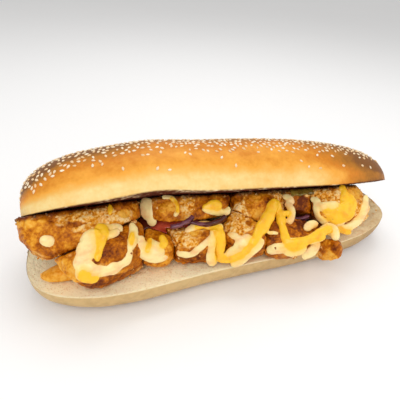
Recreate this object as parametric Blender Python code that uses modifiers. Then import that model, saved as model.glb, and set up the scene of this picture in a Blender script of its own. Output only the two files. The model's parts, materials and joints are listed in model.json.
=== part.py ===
"""A footlong submarine sandwich: a sesame roll hinged along its back, held open by its filling.

Fried chicken tenders lie in two rows in the mouth of the roll, with red onion, tomato and lettuce
between them, and thick cream and yellow sauces drizzled over them. The roll stands on its flat heel
with its length along X and its mouth towards -Y. The origin is the middle of the heel's flat bottom.
"""

import itertools
import math
import random
from dataclasses import dataclass

import bmesh
import bpy
from mathutils import Euler, Matrix, Vector, noise
from mathutils.bvhtree import BVHTree

MM = 0.001
GAP = 0.5 * MM  # free space left between neighbouring pieces
PRESS_REACH = 3 * MM  # pieces this near to each other are parted by a plane
PRESS_SOFT = 1.5 * MM  # distance over which the filling gives where the roll presses on it

# The roll, closed
ROLL_LENGTH = 300 * MM
ROLL_WIDTH = 101 * MM
ROLL_TAPER = 0.12  # share by which the left end is wider than the middle
CUT_HEIGHT = 23 * MM  # thickness of the heel, below the cut
HEEL_PRESS = 1.6 * MM  # how far the heel's round underside is pressed flat
CROWN_HEIGHT = 44.8 * MM  # thickness of the crown, above the cut
PLAN_POWER = 3.2  # how blunt the ends are, seen from above
CROWN_POWER_LEFT = 3.6  # and the crown's ends, seen from the front
CROWN_POWER_RIGHT = 2.5
HEEL_POWER = 4.0
HEEL_SPLAY = 8 * MM  # how far the filling spreads the heel's front edge at the left
HEEL_CURL = 4 * MM  # how far the heel's right tip curls up
CURL_START = 0.7
ROLL_RINGS = 38
ROLL_SEGMENTS = 22

# The cut and the hinge that it leaves along the back
SLIT = 1.0 * MM
HINGE_Y = 40 * MM  # distance of the hinge behind the middle of the roll, halfway along it
HINGE_SHARE = 0.7  # share of the length that the hinge holds together: the tips are cut through
OPEN_LEFT = math.radians(34.3)
OPEN_RIGHT = math.radians(34.1)
OPEN_ARCH = math.radians(2.6)  # how much further open the filling holds the crown between its ends
ARCH_SKEW = 1.2  # and how much more of that it does left of the middle
OPEN_PUSH = math.radians(1.7)  # how much further one tender pushes it, at this share of the half length
PUSH_AT = -0.38
PUSH_SPAN = 0.16
OPEN_TIP = math.radians(1.5)  # how much further the right tip gapes, from this share on
TIP_START = 0.5
CROWN_TUCK = 3 * MM  # how much shorter the crown is than the heel at its left tip
FOLD_START = math.radians(110)  # the bread between these two angles, behind the hinge, is what bends
FOLD_END = math.radians(250)
CUT_STRIPS = 29
CUT_ROWS = 2
BLADE_REACH = 1.03  # length of the blade that makes the cut, as a share of the roll's

# Sesame seeds baked on the crown
SEED_SIZE = Vector((3.4, 2.1, 1.3)) * MM
SEED_COUNT = 60
SEED_SPACING = 10 * MM
SEED_SINK = 0.15 * MM
SEED_LOWEST = 38  # degrees up the crown's side at which the seeds begin

# The fried coating: relief of three sizes, and the distance over which each one changes
BOXINESS = 2.9
RELIEF = ((3.2 * MM, 27 * MM), (2.0 * MM, 12 * MM), (0.9 * MM, 6 * MM))
FULL_RELIEF = 24  # thickness in millimetres from which a piece has all of that relief

# The bottle that the sauces are squeezed from: where it points, and how far off, sidewards, up and turned it is
BOTTLE_AIM = Vector((0, 0, 40)) * MM
BOTTLE_REACH = 302 * MM
BOTTLE_SIDE = math.radians(-19.7)
BOTTLE_RISE = math.radians(34.6)
BOTTLE_LEAN = math.radians(4.3)
SAUCE_STEP = 4.4 * MM
SAUCE_MOST = 9 * MM  # width of the widest bead
SAUCE_ROUND = 0.58  # radius of a bead's section, as a share of its width
SAUCE_SINK = 0.5  # share of that radius that a bead lies below the surface under it
SAUCE_LEAST = 3  # samples that a stretch on one piece has at least


@dataclass
class Fried:
    """One piece of fried chicken: sizes in millimetres and turns in degrees."""

    centre: tuple
    size: tuple  # length, width, thickness
    turn: tuple  # about X, Y and Z
    cuts: int = 5
    bend: float = 0.0  # sideways bow of the length, in millimetres
    taper: float = 0.0  # share by which the right end is slimmer
    pick: float = 0.0  # shifts the relief, so that no two pieces look alike


@dataclass
class Drizzle:
    """One run of thick sauce, in millimetres: its route as places to the right and upwards on the plane
    through the bottle's aim that faces the bottle, each with the width that the sauce has there."""

    route: tuple


FRIED = {
    "tender_upper_right": Fried((87, -23, 46), (60, 44, 33), (29, 3, 2), 5, 3, -0.05, 7.3),
    "tender_upper_dark": Fried((53, -18, 45), (34, 40, 30), (33, 0, -6), 4, 0, 0.1, 2.9),
    "tender_upper_centre": Fried((22, -14, 52), (48, 44, 24), (34, 5, -5), 4, -2, 0.05, 5.1),
    "tender_upper_middle": Fried((-31, -13, 58), (62, 38, 22), (36, -9, 4), 5, 3, -0.05, 3.7),
    "tender_upper_left": Fried((-108, -15, 55), (80, 50, 26), (35, 3, 3), 6, 4, 0.08, 1.7),
    "tender_lower_left": Fried((-95, -31, 39), (62, 46, 33), (6, -4, 17), 5, 2, 0.0, 3.4),
    "tender_tip_left": Fried((-122, -33, 28), (32, 15, 12), (0, 4, 12), 3, 1, -0.35, 8.8),
    "chicken_chunk_middle": Fried((-60, -32, 36), (28, 28, 26), (6, 0, -20), 3, 0, 0.0, 6.2),
    "tender_lower_middle": Fried((-30, -28, 37), (46, 38, 29), (10, -6, -4), 4, 2, 0.05, 4.6),
    "tender_lower_centre": Fried((6, -33, 37), (40, 38, 28), (10, 0, 5), 4, 0, 0.0, 9.5),
    "tender_lower_right": Fried((43, -38, 35), (58, 36, 25), (12, -3, 2), 4, 2, 0.1, 0.6),
    "chicken_tip_right": Fried((71, -53, 27), (12, 25, 16), (-36, 0, 18), 3, 0, 0.25, 7.9),
}
OVER_EDGE = {"chicken_tip_right", "tender_lower_right", "tender_lower_centre"}

# Room left for the tomato and the onion between the pieces that they lie between
ROOM_BETWEEN = {
    frozenset(("tender_upper_middle", "tender_lower_middle")): 6.5 * MM,
    frozenset(("tender_upper_middle", "chicken_chunk_middle")): 6.5 * MM,
    frozenset(("tender_upper_middle", "tender_lower_centre")): 4 * MM,
    frozenset(("tender_upper_dark", "tender_lower_right")): 6.5 * MM,
}

# Centre, turn, sweep in degrees and height of each arc of onion
ONION_ARCS = (
    ((-23, -34, 51), (20, -4, -6), 80, 7.5 * MM),
    ((-41, -33, 55), (24, -14, 10), 50, 3.6 * MM),
    ((48, -35, 45), (16, 0, -8), 60, 6 * MM),
)

CREAM = (
    Drizzle(((-149, -26, 6), (-145, -27, 7), (-142, -28, 5))),
    Drizzle(((-103, -18, 8), (-109, -25, 9), (-113, -32, 9), (-117, -39, 9), (-120, -46, 9), (-119, -52, 8),
             (-115, -56, 8), (-108, -58, 7))),
    Drizzle(((-110, -52, 9), (-101, -52, 9), (-92, -50, 9), (-84, -47, 7), (-78, -43, 5), (-77, -37, 5),
             (-76, -31, 5), (-74, -24, 6), (-74, -18, 6), (-75, -14, 4))),
    Drizzle(((-103, -17, 7), (-95, -17, 7), (-88, -17, 6))),
    Drizzle(((-66, 4, 6), (-62, 0, 9), (-61, -5, 9), (-60, -10, 5))),
    Drizzle(((-68, -24, 5), (-67, -31, 8), (-64, -38, 9), (-58, -41, 8), (-51, -41, 6))),
    Drizzle(((-38, -37, 5), (-32, -39, 5), (-26, -38, 5), (-19, -33, 5), (-14, -28, 5), (-8, -23, 5))),
    Drizzle(((-31, -19, 4), (-24, -15, 5), (-17, -13, 5))),
    Drizzle(((38, -35, 7), (43, -34, 9), (49, -34, 7))),
    Drizzle(((52, 4, 5), (55, -1, 6), (56, -7, 5))),
    Drizzle(((78, 1, 6), (85, 1, 7), (92, 2, 7))),
    Drizzle(((117, 4, 6), (115, -4, 7), (110, -11, 7), (103, -16, 6), (96, -16, 5))),
)
YELLOW = (
    Drizzle(((-23, -16, 4), (-16, -14, 5), (-9, -16, 6), (-4, -19, 7), (-3, -26, 8), (-3, -32, 8), (-4, -38, 8),
             (-3, -42, 7), (2, -43, 6), (8, -41, 7), (15, -38, 7), (20, -33, 7), (25, -27, 7), (29, -20, 7),
             (33, -14, 7), (37, -7, 7), (40, 0, 7), (42, 6, 5))),
    Drizzle(((42, 6, 5), (45, -1, 7), (47, -8, 8), (48, -14, 6), (50, -20, 6), (51, -26, 7), (54, -30, 8),
             (60, -30, 8), (66, -28, 8), (72, -24, 8), (79, -22, 7), (84, -20, 7), (88, -21, 8), (90, -26, 7))),
    Drizzle(((97, 18, 5), (100, 12, 7), (102, 6, 9), (103, 0, 9), (100, -5, 8), (94, -10, 7), (88, -9, 5))),
    Drizzle(((-17, 1, 3), (-12, 2, 6), (-7, 3, 8), (-3, 1, 6))),
    Drizzle(((-52, -24, 5), (-48, -27, 6), (-51, -32, 5))),
)


def linear(hex_colour):
    """Linear RGBA of a colour written as six hexadecimal digits."""
    channels = [int(hex_colour[i : i + 2], 16) / 255 for i in (0, 2, 4)]
    return tuple(c / 12.92 if c <= 0.04045 else ((c + 0.055) / 1.055) ** 2.4 for c in channels) + (1.0,)


def make_material(name, hex_colour, roughness):
    """A plain non-metallic Principled material."""
    material = bpy.data.materials.new(name)
    material.use_nodes = True
    shader = material.node_tree.nodes["Principled BSDF"]
    shader.inputs["Base Color"].default_value = linear(hex_colour)
    shader.inputs["Roughness"].default_value = roughness
    shader.inputs["Metallic"].default_value = 0.0
    material.diffuse_color = linear(hex_colour)
    return material


def smoothstep(low, high, value):
    """0 at low, 1 at high, and a smooth change between them."""
    t = min(1.0, max(0.0, (value - low) / (high - low)))
    return t * t * (3 - 2 * t)


def signed_power(value, power):
    return math.copysign(abs(value) ** power, value)


def placing(centre, turn):
    """The matrix that turns by those degrees and moves to that centre, in millimetres."""
    return Matrix.Translation(Vector(centre) * MM) @ Euler([math.radians(a) for a in turn]).to_matrix().to_4x4()


def roll_share(u, power):
    """Share of its full size that the roll has at u, which is -1 at the left tip and 1 at the right."""
    return max(0.0, 1 - abs(u) ** power) ** (1 / power)


def closed_roll_point(unit):
    """Where a point of the unit sphere, with its poles along X, lies on the uncut roll."""
    u = max(-1.0, min(1.0, unit.x))
    ring = math.hypot(unit.y, unit.z) or 1.0
    side, lift = unit.y / ring, unit.z / ring
    half_width = ROLL_WIDTH / 2 * (1 - ROLL_TAPER * u) * roll_share(u, PLAN_POWER)
    if lift >= 0:
        power = CROWN_POWER_RIGHT if u > 0 else CROWN_POWER_LEFT
        y = half_width * signed_power(side, 0.8)
        z = CUT_HEIGHT + CROWN_HEIGHT * roll_share(u, power) * lift**0.8
    else:
        y = half_width * signed_power(side, 0.5)
        depth = (CUT_HEIGHT + HEEL_PRESS) * roll_share(u, HEEL_POWER)
        z = max(0.0, CUT_HEIGHT - depth * abs(lift) ** 0.75)
    return Vector((u * ROLL_LENGTH / 2, y, z))


def settled(point):
    """The heel's point, splayed forwards at the left by the filling and curled up at the right tip."""
    u = 2 * point.x / ROLL_LENGTH
    front = smoothstep(0, ROLL_WIDTH / 2, -point.y)
    splay = HEEL_SPLAY * front * smoothstep(-0.05, -0.75, u)
    return point + Vector((0, -splay, HEEL_CURL * smoothstep(CURL_START, 1, u)))


def hinge_y(x):
    """Where the hinge lies at x: it runs along the tapering back of the roll."""
    return HINGE_Y * (1 - ROLL_TAPER * 2 * x / ROLL_LENGTH)


def opening_angle(x):
    """How far the crown is folded open at x."""
    u = max(-1.0, min(1.0, 2 * x / ROLL_LENGTH))
    arch = OPEN_ARCH * (1 - u * u) * (1 - ARCH_SKEW * u)
    push = OPEN_PUSH * math.exp(-(((u - PUSH_AT) / PUSH_SPAN) ** 2))
    tip = OPEN_TIP * smoothstep(TIP_START, 1, u)
    return OPEN_LEFT + (OPEN_RIGHT - OPEN_LEFT) * (u + 1) / 2 + arch + push + tip


def folded(point):
    """Where a point of the closed roll goes when its crown is folded open about the hinge."""
    back, up = point.y - hinge_y(point.x), point.z - CUT_HEIGHT
    reach = math.hypot(back, up)
    around = math.atan2(up, -back) % math.tau
    share = 1 - smoothstep(FOLD_START, FOLD_END, around)
    turned = around + opening_angle(point.x) * share
    opened = Vector((
        point.x, hinge_y(point.x) - reach * math.cos(turned), CUT_HEIGHT + reach * math.sin(turned),
    ))
    opened.x += CROWN_TUCK * share * smoothstep(-0.6, -1, 2 * point.x / ROLL_LENGTH)
    return opened.lerp(settled(opened), 1 - share)


def roll_surface(u, around):
    """Point and outward normal of the opened roll, at u along it and that angle round its section."""
    def point(u_at, angle):
        ring = math.sqrt(max(0.0, 1 - u_at * u_at)) or 1e-6
        return folded(closed_roll_point(Vector((u_at, -ring * math.cos(angle), ring * math.sin(angle)))))

    step = 1e-3
    along = point(u + step, around) - point(u - step, around)
    across = point(u, around + step) - point(u, around - step)
    return point(u, around), along.cross(across).normalized() * -1


def pressed_against(height):
    """A height over a face, negative on the free side, as pressing leaves it: it never reaches the face."""
    return height if height < -PRESS_SOFT else -PRESS_SOFT**2 / (height + 2 * PRESS_SOFT)


def held_in_mouth(point):
    """The point, moved into the mouth of the roll if it lies in the heel or the crown."""
    low = CUT_HEIGHT - SLIT / 2 + GAP
    point = Vector((point.x, point.y, low - pressed_against(low - point.z)))
    angle = opening_angle(point.x)
    upward = Vector((0, math.sin(angle), math.cos(angle)))
    from_hinge = point - Vector((point.x, hinge_y(point.x), CUT_HEIGHT))
    over = from_hinge.dot(upward) - SLIT / 2 + GAP
    return point - upward * (over - pressed_against(over))


def link(name, mesh, material, collection):
    """A new object with that mesh and material, in the collection."""
    mesh.name = name
    mesh.materials.clear()
    mesh.materials.append(material)
    thing = bpy.data.objects.new(name, mesh)
    collection.objects.link(thing)
    return thing


def mesh_of(bm, name):
    """The finished mesh of a bmesh, with its faces pointing out."""
    bmesh.ops.recalc_face_normals(bm, faces=bm.faces)
    mesh = bpy.data.meshes.new(name)
    bm.to_mesh(mesh)
    bm.free()
    return mesh


def largest_piece(mesh):
    """Leaves only the largest connected body of the mesh, so that a cut drops no loose scrap."""
    bm = bmesh.new()
    bm.from_mesh(mesh)
    bmesh.ops.remove_doubles(bm, verts=bm.verts, dist=0.002 * MM)
    unseen = set(bm.faces)
    bodies = []
    while unseen:
        stack = [unseen.pop()]
        body = set(stack)
        while stack:
            for edge in stack.pop().edges:
                for face in edge.link_faces:
                    if face in unseen:
                        unseen.remove(face)
                        body.add(face)
                        stack.append(face)
        bodies.append(body)
    keep = max(bodies, key=len)
    bmesh.ops.delete(bm, geom=[f for f in bm.faces if f not in keep], context="FACES")
    bm.to_mesh(mesh)
    bm.free()


def applied(thing):
    """Replaces the object's mesh with what its modifiers make of it."""
    graph = bpy.context.evaluated_depsgraph_get()
    mesh = bpy.data.meshes.new_from_object(thing.evaluated_get(graph))
    thing.modifiers.clear()
    thing.data = mesh
    largest_piece(mesh)


def boolean(thing, others, operation):
    """Cuts the others from the object, or fuses them to it, and removes them."""
    group = bpy.data.collections.new("tools")
    bpy.context.scene.collection.children.link(group)
    for other in others:
        for old in list(other.users_collection):
            old.objects.unlink(other)
        group.objects.link(other)
    modifier = thing.modifiers.new(operation.lower(), "BOOLEAN")
    modifier.operation = operation
    modifier.operand_type = "COLLECTION"
    modifier.collection = group
    modifier.solver = "EXACT"
    applied(thing)
    for other in others:
        bpy.data.objects.remove(other)
    bpy.data.collections.remove(group)


def near(thing, other):
    """Whether the boxes of the two objects' meshes come within the gap of each other."""
    boxes = []
    for each in (thing, other):
        spots = [v.co for v in each.data.vertices]
        boxes.append([(min(s[i] for s in spots), max(s[i] for s in spots)) for i in range(3)])
    return all(a[0] - GAP < b[1] and b[0] - GAP < a[1] for a, b in zip(*boxes))


def keep_clear(thing, others, tools):
    """Cuts from the object what lies in the others or within the gap round them."""
    cutters = []
    for other in others:
        if near(thing, other):
            mesh = other.data.copy()
            for vert, normal in zip(mesh.vertices, [n.vector.copy() for n in mesh.vertex_normals]):
                vert.co += normal * GAP
            cutters.append(link("cutter", mesh, other.data.materials[0], tools))
    if cutters:
        boolean(thing, cutters, "DIFFERENCE")


def tree_of(thing):
    """The object's faces, ready for finding the nearest point and for casting rays."""
    return BVHTree.FromPolygons([v.co for v in thing.data.vertices], [p.vertices for p in thing.data.polygons])


def pressed(thing, tree):
    """Points and normals of the object's surface that lie in the other shape or close to it."""
    found = []
    for vert, normal in zip(thing.data.vertices, thing.data.vertex_normals):
        spot, facing, _, distance = tree.find_nearest(vert.co)
        if distance < PRESS_REACH or (vert.co - spot).dot(facing) < 0:
            found.append((vert.co.copy(), normal.vector.copy()))
    return found


def parting_plane(thing, other, trees):
    """Middle and normal of the plane that parts two pieces, facing the second, or None if they lie apart."""
    mine = pressed(thing, trees[other.name])
    theirs = pressed(other, trees[thing.name])
    if not mine or not theirs:
        return None
    middle = sum((spot for spot, _ in mine + theirs), Vector()) / len(mine + theirs)
    facing = sum((n for _, n in mine), Vector()).normalized() - sum((n for _, n in theirs), Vector()).normalized()
    return middle, facing.normalized()


def cut_flat(thing, middle, facing):
    """Takes off what lies beyond the plane and closes the cut."""
    bm = bmesh.new()
    bm.from_mesh(thing.data)
    everything = list(bm.verts) + list(bm.edges) + list(bm.faces)
    bmesh.ops.bisect_plane(bm, geom=everything, dist=1e-6, plane_co=middle, plane_no=facing, clear_outer=True)
    bmesh.ops.remove_doubles(bm, verts=bm.verts, dist=0.02 * MM)
    bmesh.ops.holes_fill(bm, edges=[e for e in bm.edges if e.is_boundary])
    bmesh.ops.triangulate(bm, faces=[f for f in bm.faces if len(f.verts) > 4])
    bm.to_mesh(thing.data)
    bm.free()
    largest_piece(thing.data)


def make_roll(material, collection):
    """The bare roll: a sphere shaped to the closed roll, slit from the front, and folded open."""
    bm = bmesh.new()
    bmesh.ops.create_uvsphere(
        bm, u_segments=ROLL_SEGMENTS, v_segments=ROLL_RINGS, radius=1, matrix=Matrix.Rotation(math.pi / 2, 4, "Y")
    )
    for vert in bm.verts:
        vert.co = closed_roll_point(vert.co)
    roll = link("sub_roll", mesh_of(bm, "sub_roll"), material, collection)

    bm = bmesh.new()
    bmesh.ops.create_grid(bm, x_segments=CUT_STRIPS, y_segments=CUT_ROWS, size=1)
    front = -ROLL_WIDTH
    for vert in bm.verts:
        x = vert.co.x * ROLL_LENGTH / 2 * BLADE_REACH
        back = hinge_y(x) if abs(vert.co.x) * BLADE_REACH < HINGE_SHARE else ROLL_WIDTH
        vert.co = Vector((x, front + (back - front) * (vert.co.y + 1) / 2, CUT_HEIGHT))
    blade = link("slit_blade", mesh_of(bm, "slit_blade"), material, collection)
    thick = blade.modifiers.new("thickness", "SOLIDIFY")
    thick.thickness = SLIT
    thick.offset = 0
    applied(blade)
    boolean(roll, [blade], "DIFFERENCE")

    for vert in roll.data.vertices:
        vert.co = folded(vert.co)
    return roll


def seed_places():
    """Even, seeded places for the sesame seeds: point, normal and turn of each."""
    draw = random.Random(11)
    places = []
    for _ in range(6000):
        if len(places) == SEED_COUNT:
            break
        u = draw.uniform(-0.975, 0.975)
        around = math.radians(draw.uniform(SEED_LOWEST, 180 - SEED_LOWEST / 2))
        point, normal = roll_surface(u, around)
        if all((point - other[0]).length > SEED_SPACING for other in places):
            places.append((point, normal, draw.uniform(0, math.pi)))
    return places


def make_seeds(material, collection):
    """One low seed, a twenty-sided grain, at each place."""
    seeds = []
    for point, normal, turn in seed_places():
        bm = bmesh.new()
        bmesh.ops.create_icosphere(bm, subdivisions=1, radius=0.5)
        place = Matrix.Translation(point + normal * SEED_SINK) @ normal.to_track_quat("Z", "Y").to_matrix().to_4x4()
        place = place @ Matrix.Rotation(turn, 4, "Z") @ Matrix.Diagonal(SEED_SIZE).to_4x4()
        bmesh.ops.transform(bm, matrix=place, verts=bm.verts)
        seeds.append(link("seed", mesh_of(bm, "seed"), material, collection))
    return seeds


def make_onion(name, centre, turn, sweep, height, material, collection):
    """A cut arc of a red onion ring."""
    radius, wall = 21 * MM, 2.8 * MM
    bm = bmesh.new()
    bmesh.ops.create_grid(bm, x_segments=1, y_segments=1, size=0.5)
    for vert in bm.verts:
        vert.co = Vector((radius + vert.co.x * wall, 0, vert.co.y * height))
    start = -math.pi / 2 - math.radians(sweep) / 2
    bmesh.ops.rotate(bm, verts=bm.verts, matrix=Matrix.Rotation(start, 3, "Z"))
    bmesh.ops.spin(
        bm, geom=list(bm.faces) + list(bm.edges) + list(bm.verts), axis=(0, 0, 1),
        angle=math.radians(sweep), steps=max(4, round(sweep / 11)),
    )
    place = placing(centre, turn)
    for vert in bm.verts:
        vert.co = held_in_mouth(place @ (vert.co + Vector((0, radius, 0))))
    return link(name, mesh_of(bm, name), material, collection)


def make_tomato(name, centre, turn, material, collection):
    """A round slice of tomato with a soft rim."""
    radius, thickness = 24 * MM, 5.5 * MM
    bm = bmesh.new()
    bmesh.ops.create_cone(bm, cap_ends=True, segments=24, radius1=radius, radius2=radius, depth=thickness)
    rims = [e for e in bm.edges if abs(e.verts[0].co.z - e.verts[1].co.z) < 0.1 * MM]
    bmesh.ops.bevel(bm, geom=rims, offset=1.6 * MM, segments=2, affect="EDGES")
    place = placing(centre, turn)
    for vert in bm.verts:
        swell = 1 + 0.03 * math.sin(5 * math.atan2(vert.co.y, vert.co.x))
        vert.co = held_in_mouth(place @ Vector((vert.co.x * swell, vert.co.y * swell, vert.co.z)))
    return link(name, mesh_of(bm, name), material, collection)


def make_lettuce(name, centre, turn, material, collection):
    """A thin wavy strip of lettuce."""
    length, width, thickness, wave = 19 * MM, 12 * MM, 1.3 * MM, 1.2 * MM
    bm = bmesh.new()
    bmesh.ops.create_grid(bm, x_segments=9, y_segments=3, size=0.5)
    for vert in bm.verts:
        ruffle = wave * math.sin(vert.co.x * 14) * (0.5 - vert.co.y)
        vert.co = Vector((vert.co.x * length, vert.co.y * width, ruffle))
    bmesh.ops.triangulate(bm, faces=bm.faces)
    leaf = link(name, mesh_of(bm, name), material, collection)
    thick = leaf.modifiers.new("thickness", "SOLIDIFY")
    thick.thickness = thickness
    thick.offset = 0
    applied(leaf)
    place = placing(centre, turn)
    for vert in leaf.data.vertices:
        vert.co = held_in_mouth(place @ vert.co)
    return leaf


def fried_point(unit, piece):
    """Where a point of the unit cube's surface lies on a fried piece, before the piece is placed."""
    norm = sum(abs(c) ** BOXINESS for c in unit) ** (1 / BOXINESS)
    along, across, up = unit / norm
    length, width, thickness = (s * MM / 2 for s in piece.size)
    slim = 1 - piece.taper * along
    point = Vector((along * length, across * width * slim, up * thickness * slim))
    outward = Vector((along / length, across / width, up / thickness)).normalized()
    shift = Vector((piece.pick, piece.pick * 1.7, -piece.pick))
    share = min(1.0, piece.size[2] / FULL_RELIEF)
    relief = sum(height * noise.noise(point / span + shift * i) for i, (height, span) in enumerate(RELIEF, 1))
    point += outward * relief * share
    point.y += piece.bend * MM * along * along
    return point


def make_fried(name, piece, material, collection):
    """A cube, subdivided and rounded to one lumpy piece of fried chicken, set in its place."""
    bm = bmesh.new()
    bmesh.ops.create_cube(bm, size=2)
    bmesh.ops.subdivide_edges(bm, edges=bm.edges, cuts=piece.cuts, use_grid_fill=True)
    place = placing(piece.centre, piece.turn)
    for vert in bm.verts:
        vert.co = place @ fried_point(vert.co, piece)
        if name not in OVER_EDGE:
            vert.co = held_in_mouth(vert.co)
    return link(name, mesh_of(bm, name), material, collection)


def smooth_route(route):
    """Even places along a smooth curve through the route's points, as (right, up, width) in metres."""
    spots = [Vector(p) * MM for p in route]
    ends = [2 * spots[0] - spots[1]] + spots + [2 * spots[-1] - spots[-2]]
    places = []
    for a, b, c, d in zip(ends, ends[1:], ends[2:], ends[3:]):
        count = max(1, round((c - b).length / SAUCE_STEP))
        for i in range(count):
            t = i / count
            bent = (2 * a - 5 * b + 4 * c - d) * t**2 + (3 * b - a - 3 * c + d) * t**3
            places.append(b + 0.5 * ((c - a) * t + bent))
    return places + [spots[-1]]


def poured(route, trees):
    """Where sauce on that route lands: for each sample the piece it meets, the point, normal and width."""
    turn = Euler((math.pi / 2 - BOTTLE_RISE, 0, BOTTLE_SIDE)).to_matrix() @ Matrix.Rotation(BOTTLE_LEAN, 3, "Z")
    bottle = BOTTLE_AIM + turn.col[2] * BOTTLE_REACH
    landed = []
    for right, up, width in smooth_route(route):
        jet = (BOTTLE_AIM + turn.col[0] * right + turn.col[1] * up - bottle).normalized()
        hits = []
        for name, tree in trees.items():
            point, normal, _, distance = tree.ray_cast(bottle, jet)
            if point:
                hits.append((distance, name, point, normal))
        if hits:
            landed.append((*min(hits)[1:], min(width, SAUCE_MOST)))
    return landed


def make_bead(places, under, material, collection):
    """A closed low bead of sauce along those places, mostly sunk in what it lies on."""
    curve = bpy.data.curves.new("bead", "CURVE")
    curve.dimensions = "3D"
    curve.bevel_depth = 1.0
    curve.bevel_resolution = 2
    curve.use_fill_caps = True
    spline = curve.splines.new("POLY")
    spline.points.add(len(places) - 1)
    for i, (spot, (_, point, normal, width)) in enumerate(zip(spline.points, places)):
        ended = 0.8 if i in (0, len(places) - 1) else 1.0
        radius = width * SAUCE_ROUND
        spot.radius = radius * ended
        spot.co = (point - normal * radius * SAUCE_SINK).to_4d()
    thing = bpy.data.objects.new("bead", curve)
    collection.objects.link(thing)
    mesh = bpy.data.meshes.new_from_object(thing.evaluated_get(bpy.context.evaluated_depsgraph_get()))
    bpy.data.objects.remove(thing)
    bm = bmesh.new()
    bm.from_mesh(mesh)
    bmesh.ops.remove_doubles(bm, verts=bm.verts, dist=0.01 * MM)
    if under not in OVER_EDGE:
        for vert in bm.verts:
            vert.co = held_in_mouth(vert.co)
    return link("bead", mesh_of(bm, "bead"), material, collection)


def find_beads(trees, material, tools):
    """Every bead of sauce, under the name of the piece that it lies on."""
    beads = {name: [] for name in FRIED}
    for drizzle in CREAM + YELLOW:
        landed = poured(drizzle.route, trees)
        for name in FRIED:
            stretch = []
            for place in landed + [(None, None, None, None)]:
                if place[0] == name:
                    stretch.append(place)
                    continue
                if len(stretch) >= SAUCE_LEAST:
                    beads[name].append(make_bead(stretch, name, material, tools))
                stretch = []
    return beads


def main():
    for old in list(bpy.data.objects):
        bpy.data.objects.remove(old)
    parts = bpy.data.collections.new("submarine_sandwich")
    tools = bpy.data.collections.new("working")
    for collection in (parts, tools):
        bpy.context.scene.collection.children.link(collection)

    bread = make_material("bread", "D9A55C", 0.55)
    coating = make_material("fried_coating", "A5591B", 0.5)
    onion = make_material("red_onion", "8E4A6B", 0.35)
    tomato = make_material("tomato", "B8331F", 0.3)
    lettuce = make_material("lettuce", "7C8A34", 0.45)

    roll = make_roll(bread, parts)
    pieces = {name: make_fried(name, piece, coating, parts) for name, piece in FRIED.items()}
    trees = {name: tree_of(piece) for name, piece in pieces.items()}
    cuts = []
    for first, second in itertools.combinations(pieces.values(), 2):
        plane = parting_plane(first, second, trees)
        if plane:
            cuts.append((first, second, *plane))
    beads = find_beads({"sub_roll": tree_of(roll), **trees}, coating, tools)
    for name, found in beads.items():
        if found:
            boolean(pieces[name], found, "UNION")
    for first, second, middle, facing in cuts:
        room = ROOM_BETWEEN.get(frozenset((first.name, second.name)), GAP)
        cut_flat(first, middle - facing * room / 2, facing)
        cut_flat(second, middle + facing * room / 2, -facing)
    for name in OVER_EDGE:
        keep_clear(pieces[name], [roll], tools)

    leaf = make_lettuce("lettuce_strip", (55, -21, 65), (33, 0, 0), lettuce, parts)
    for piece in pieces.values():
        keep_clear(piece, [leaf], tools)
    laid = list(pieces.values())
    laid.append(make_tomato("tomato_slice", (-49, -20, 45), (20, -13, 0), tomato, parts))
    keep_clear(laid[-1], laid[:-1], tools)
    for i, arc in enumerate(ONION_ARCS, start=1):
        laid.append(make_onion(f"onion_slice_{i}", *arc, onion, parts))
        keep_clear(laid[-1], laid[:-1], tools)
    boolean(roll, make_seeds(bread, tools), "UNION")
    bpy.data.collections.remove(tools)


main()
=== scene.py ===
"""The looks of a footlong submarine sandwich.

A sesame roll, hinged along its back, is held open by two rows of fried chicken tenders. Tomato, red
onion and lettuce lie between them, and thick cream and yellow sauces are drizzled over them. Each piece
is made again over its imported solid, with the fine surface that the solid leaves out.
"""

import json
import logging
import math
import random
from dataclasses import dataclass, field
from enum import Enum

import bpy
import numpy as np
from mathutils import Euler, Matrix, Vector, noise
from mathutils.bvhtree import BVHTree
from mathutils.kdtree import KDTree

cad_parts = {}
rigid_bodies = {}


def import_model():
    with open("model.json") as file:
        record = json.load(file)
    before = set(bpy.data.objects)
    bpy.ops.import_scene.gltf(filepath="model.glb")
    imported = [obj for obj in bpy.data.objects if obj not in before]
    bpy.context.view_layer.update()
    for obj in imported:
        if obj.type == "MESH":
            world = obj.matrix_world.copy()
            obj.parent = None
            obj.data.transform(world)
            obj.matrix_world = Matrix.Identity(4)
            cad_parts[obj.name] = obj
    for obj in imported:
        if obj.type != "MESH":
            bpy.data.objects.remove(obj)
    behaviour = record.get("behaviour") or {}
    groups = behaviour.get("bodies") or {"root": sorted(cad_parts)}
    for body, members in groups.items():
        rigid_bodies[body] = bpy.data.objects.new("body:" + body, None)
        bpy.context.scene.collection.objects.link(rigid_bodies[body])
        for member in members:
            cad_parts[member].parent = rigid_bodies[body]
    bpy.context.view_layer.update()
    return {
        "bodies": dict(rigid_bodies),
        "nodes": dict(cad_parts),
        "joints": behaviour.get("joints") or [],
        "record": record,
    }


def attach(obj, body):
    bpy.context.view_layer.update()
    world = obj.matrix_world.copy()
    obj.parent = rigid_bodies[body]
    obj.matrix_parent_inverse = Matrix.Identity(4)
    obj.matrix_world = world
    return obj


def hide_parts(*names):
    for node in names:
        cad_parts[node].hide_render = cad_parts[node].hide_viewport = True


MM = 0.001
TOUCHING = 0.001 * MM
CUT_RIM = 0.9  # how far the rim of a cut face is crumb
SOAK_AND_SHADE_MOST = 0.85  # how dark the painted shade under the crown gets on the breading, where it also stands for sauce soak
BODY = "root"
log = logging.getLogger("sandwich")


class Sauce(Enum):
    """The sauces that are poured on the filling."""

    CREAM = "cream"
    YELLOW = "yellow"


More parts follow.
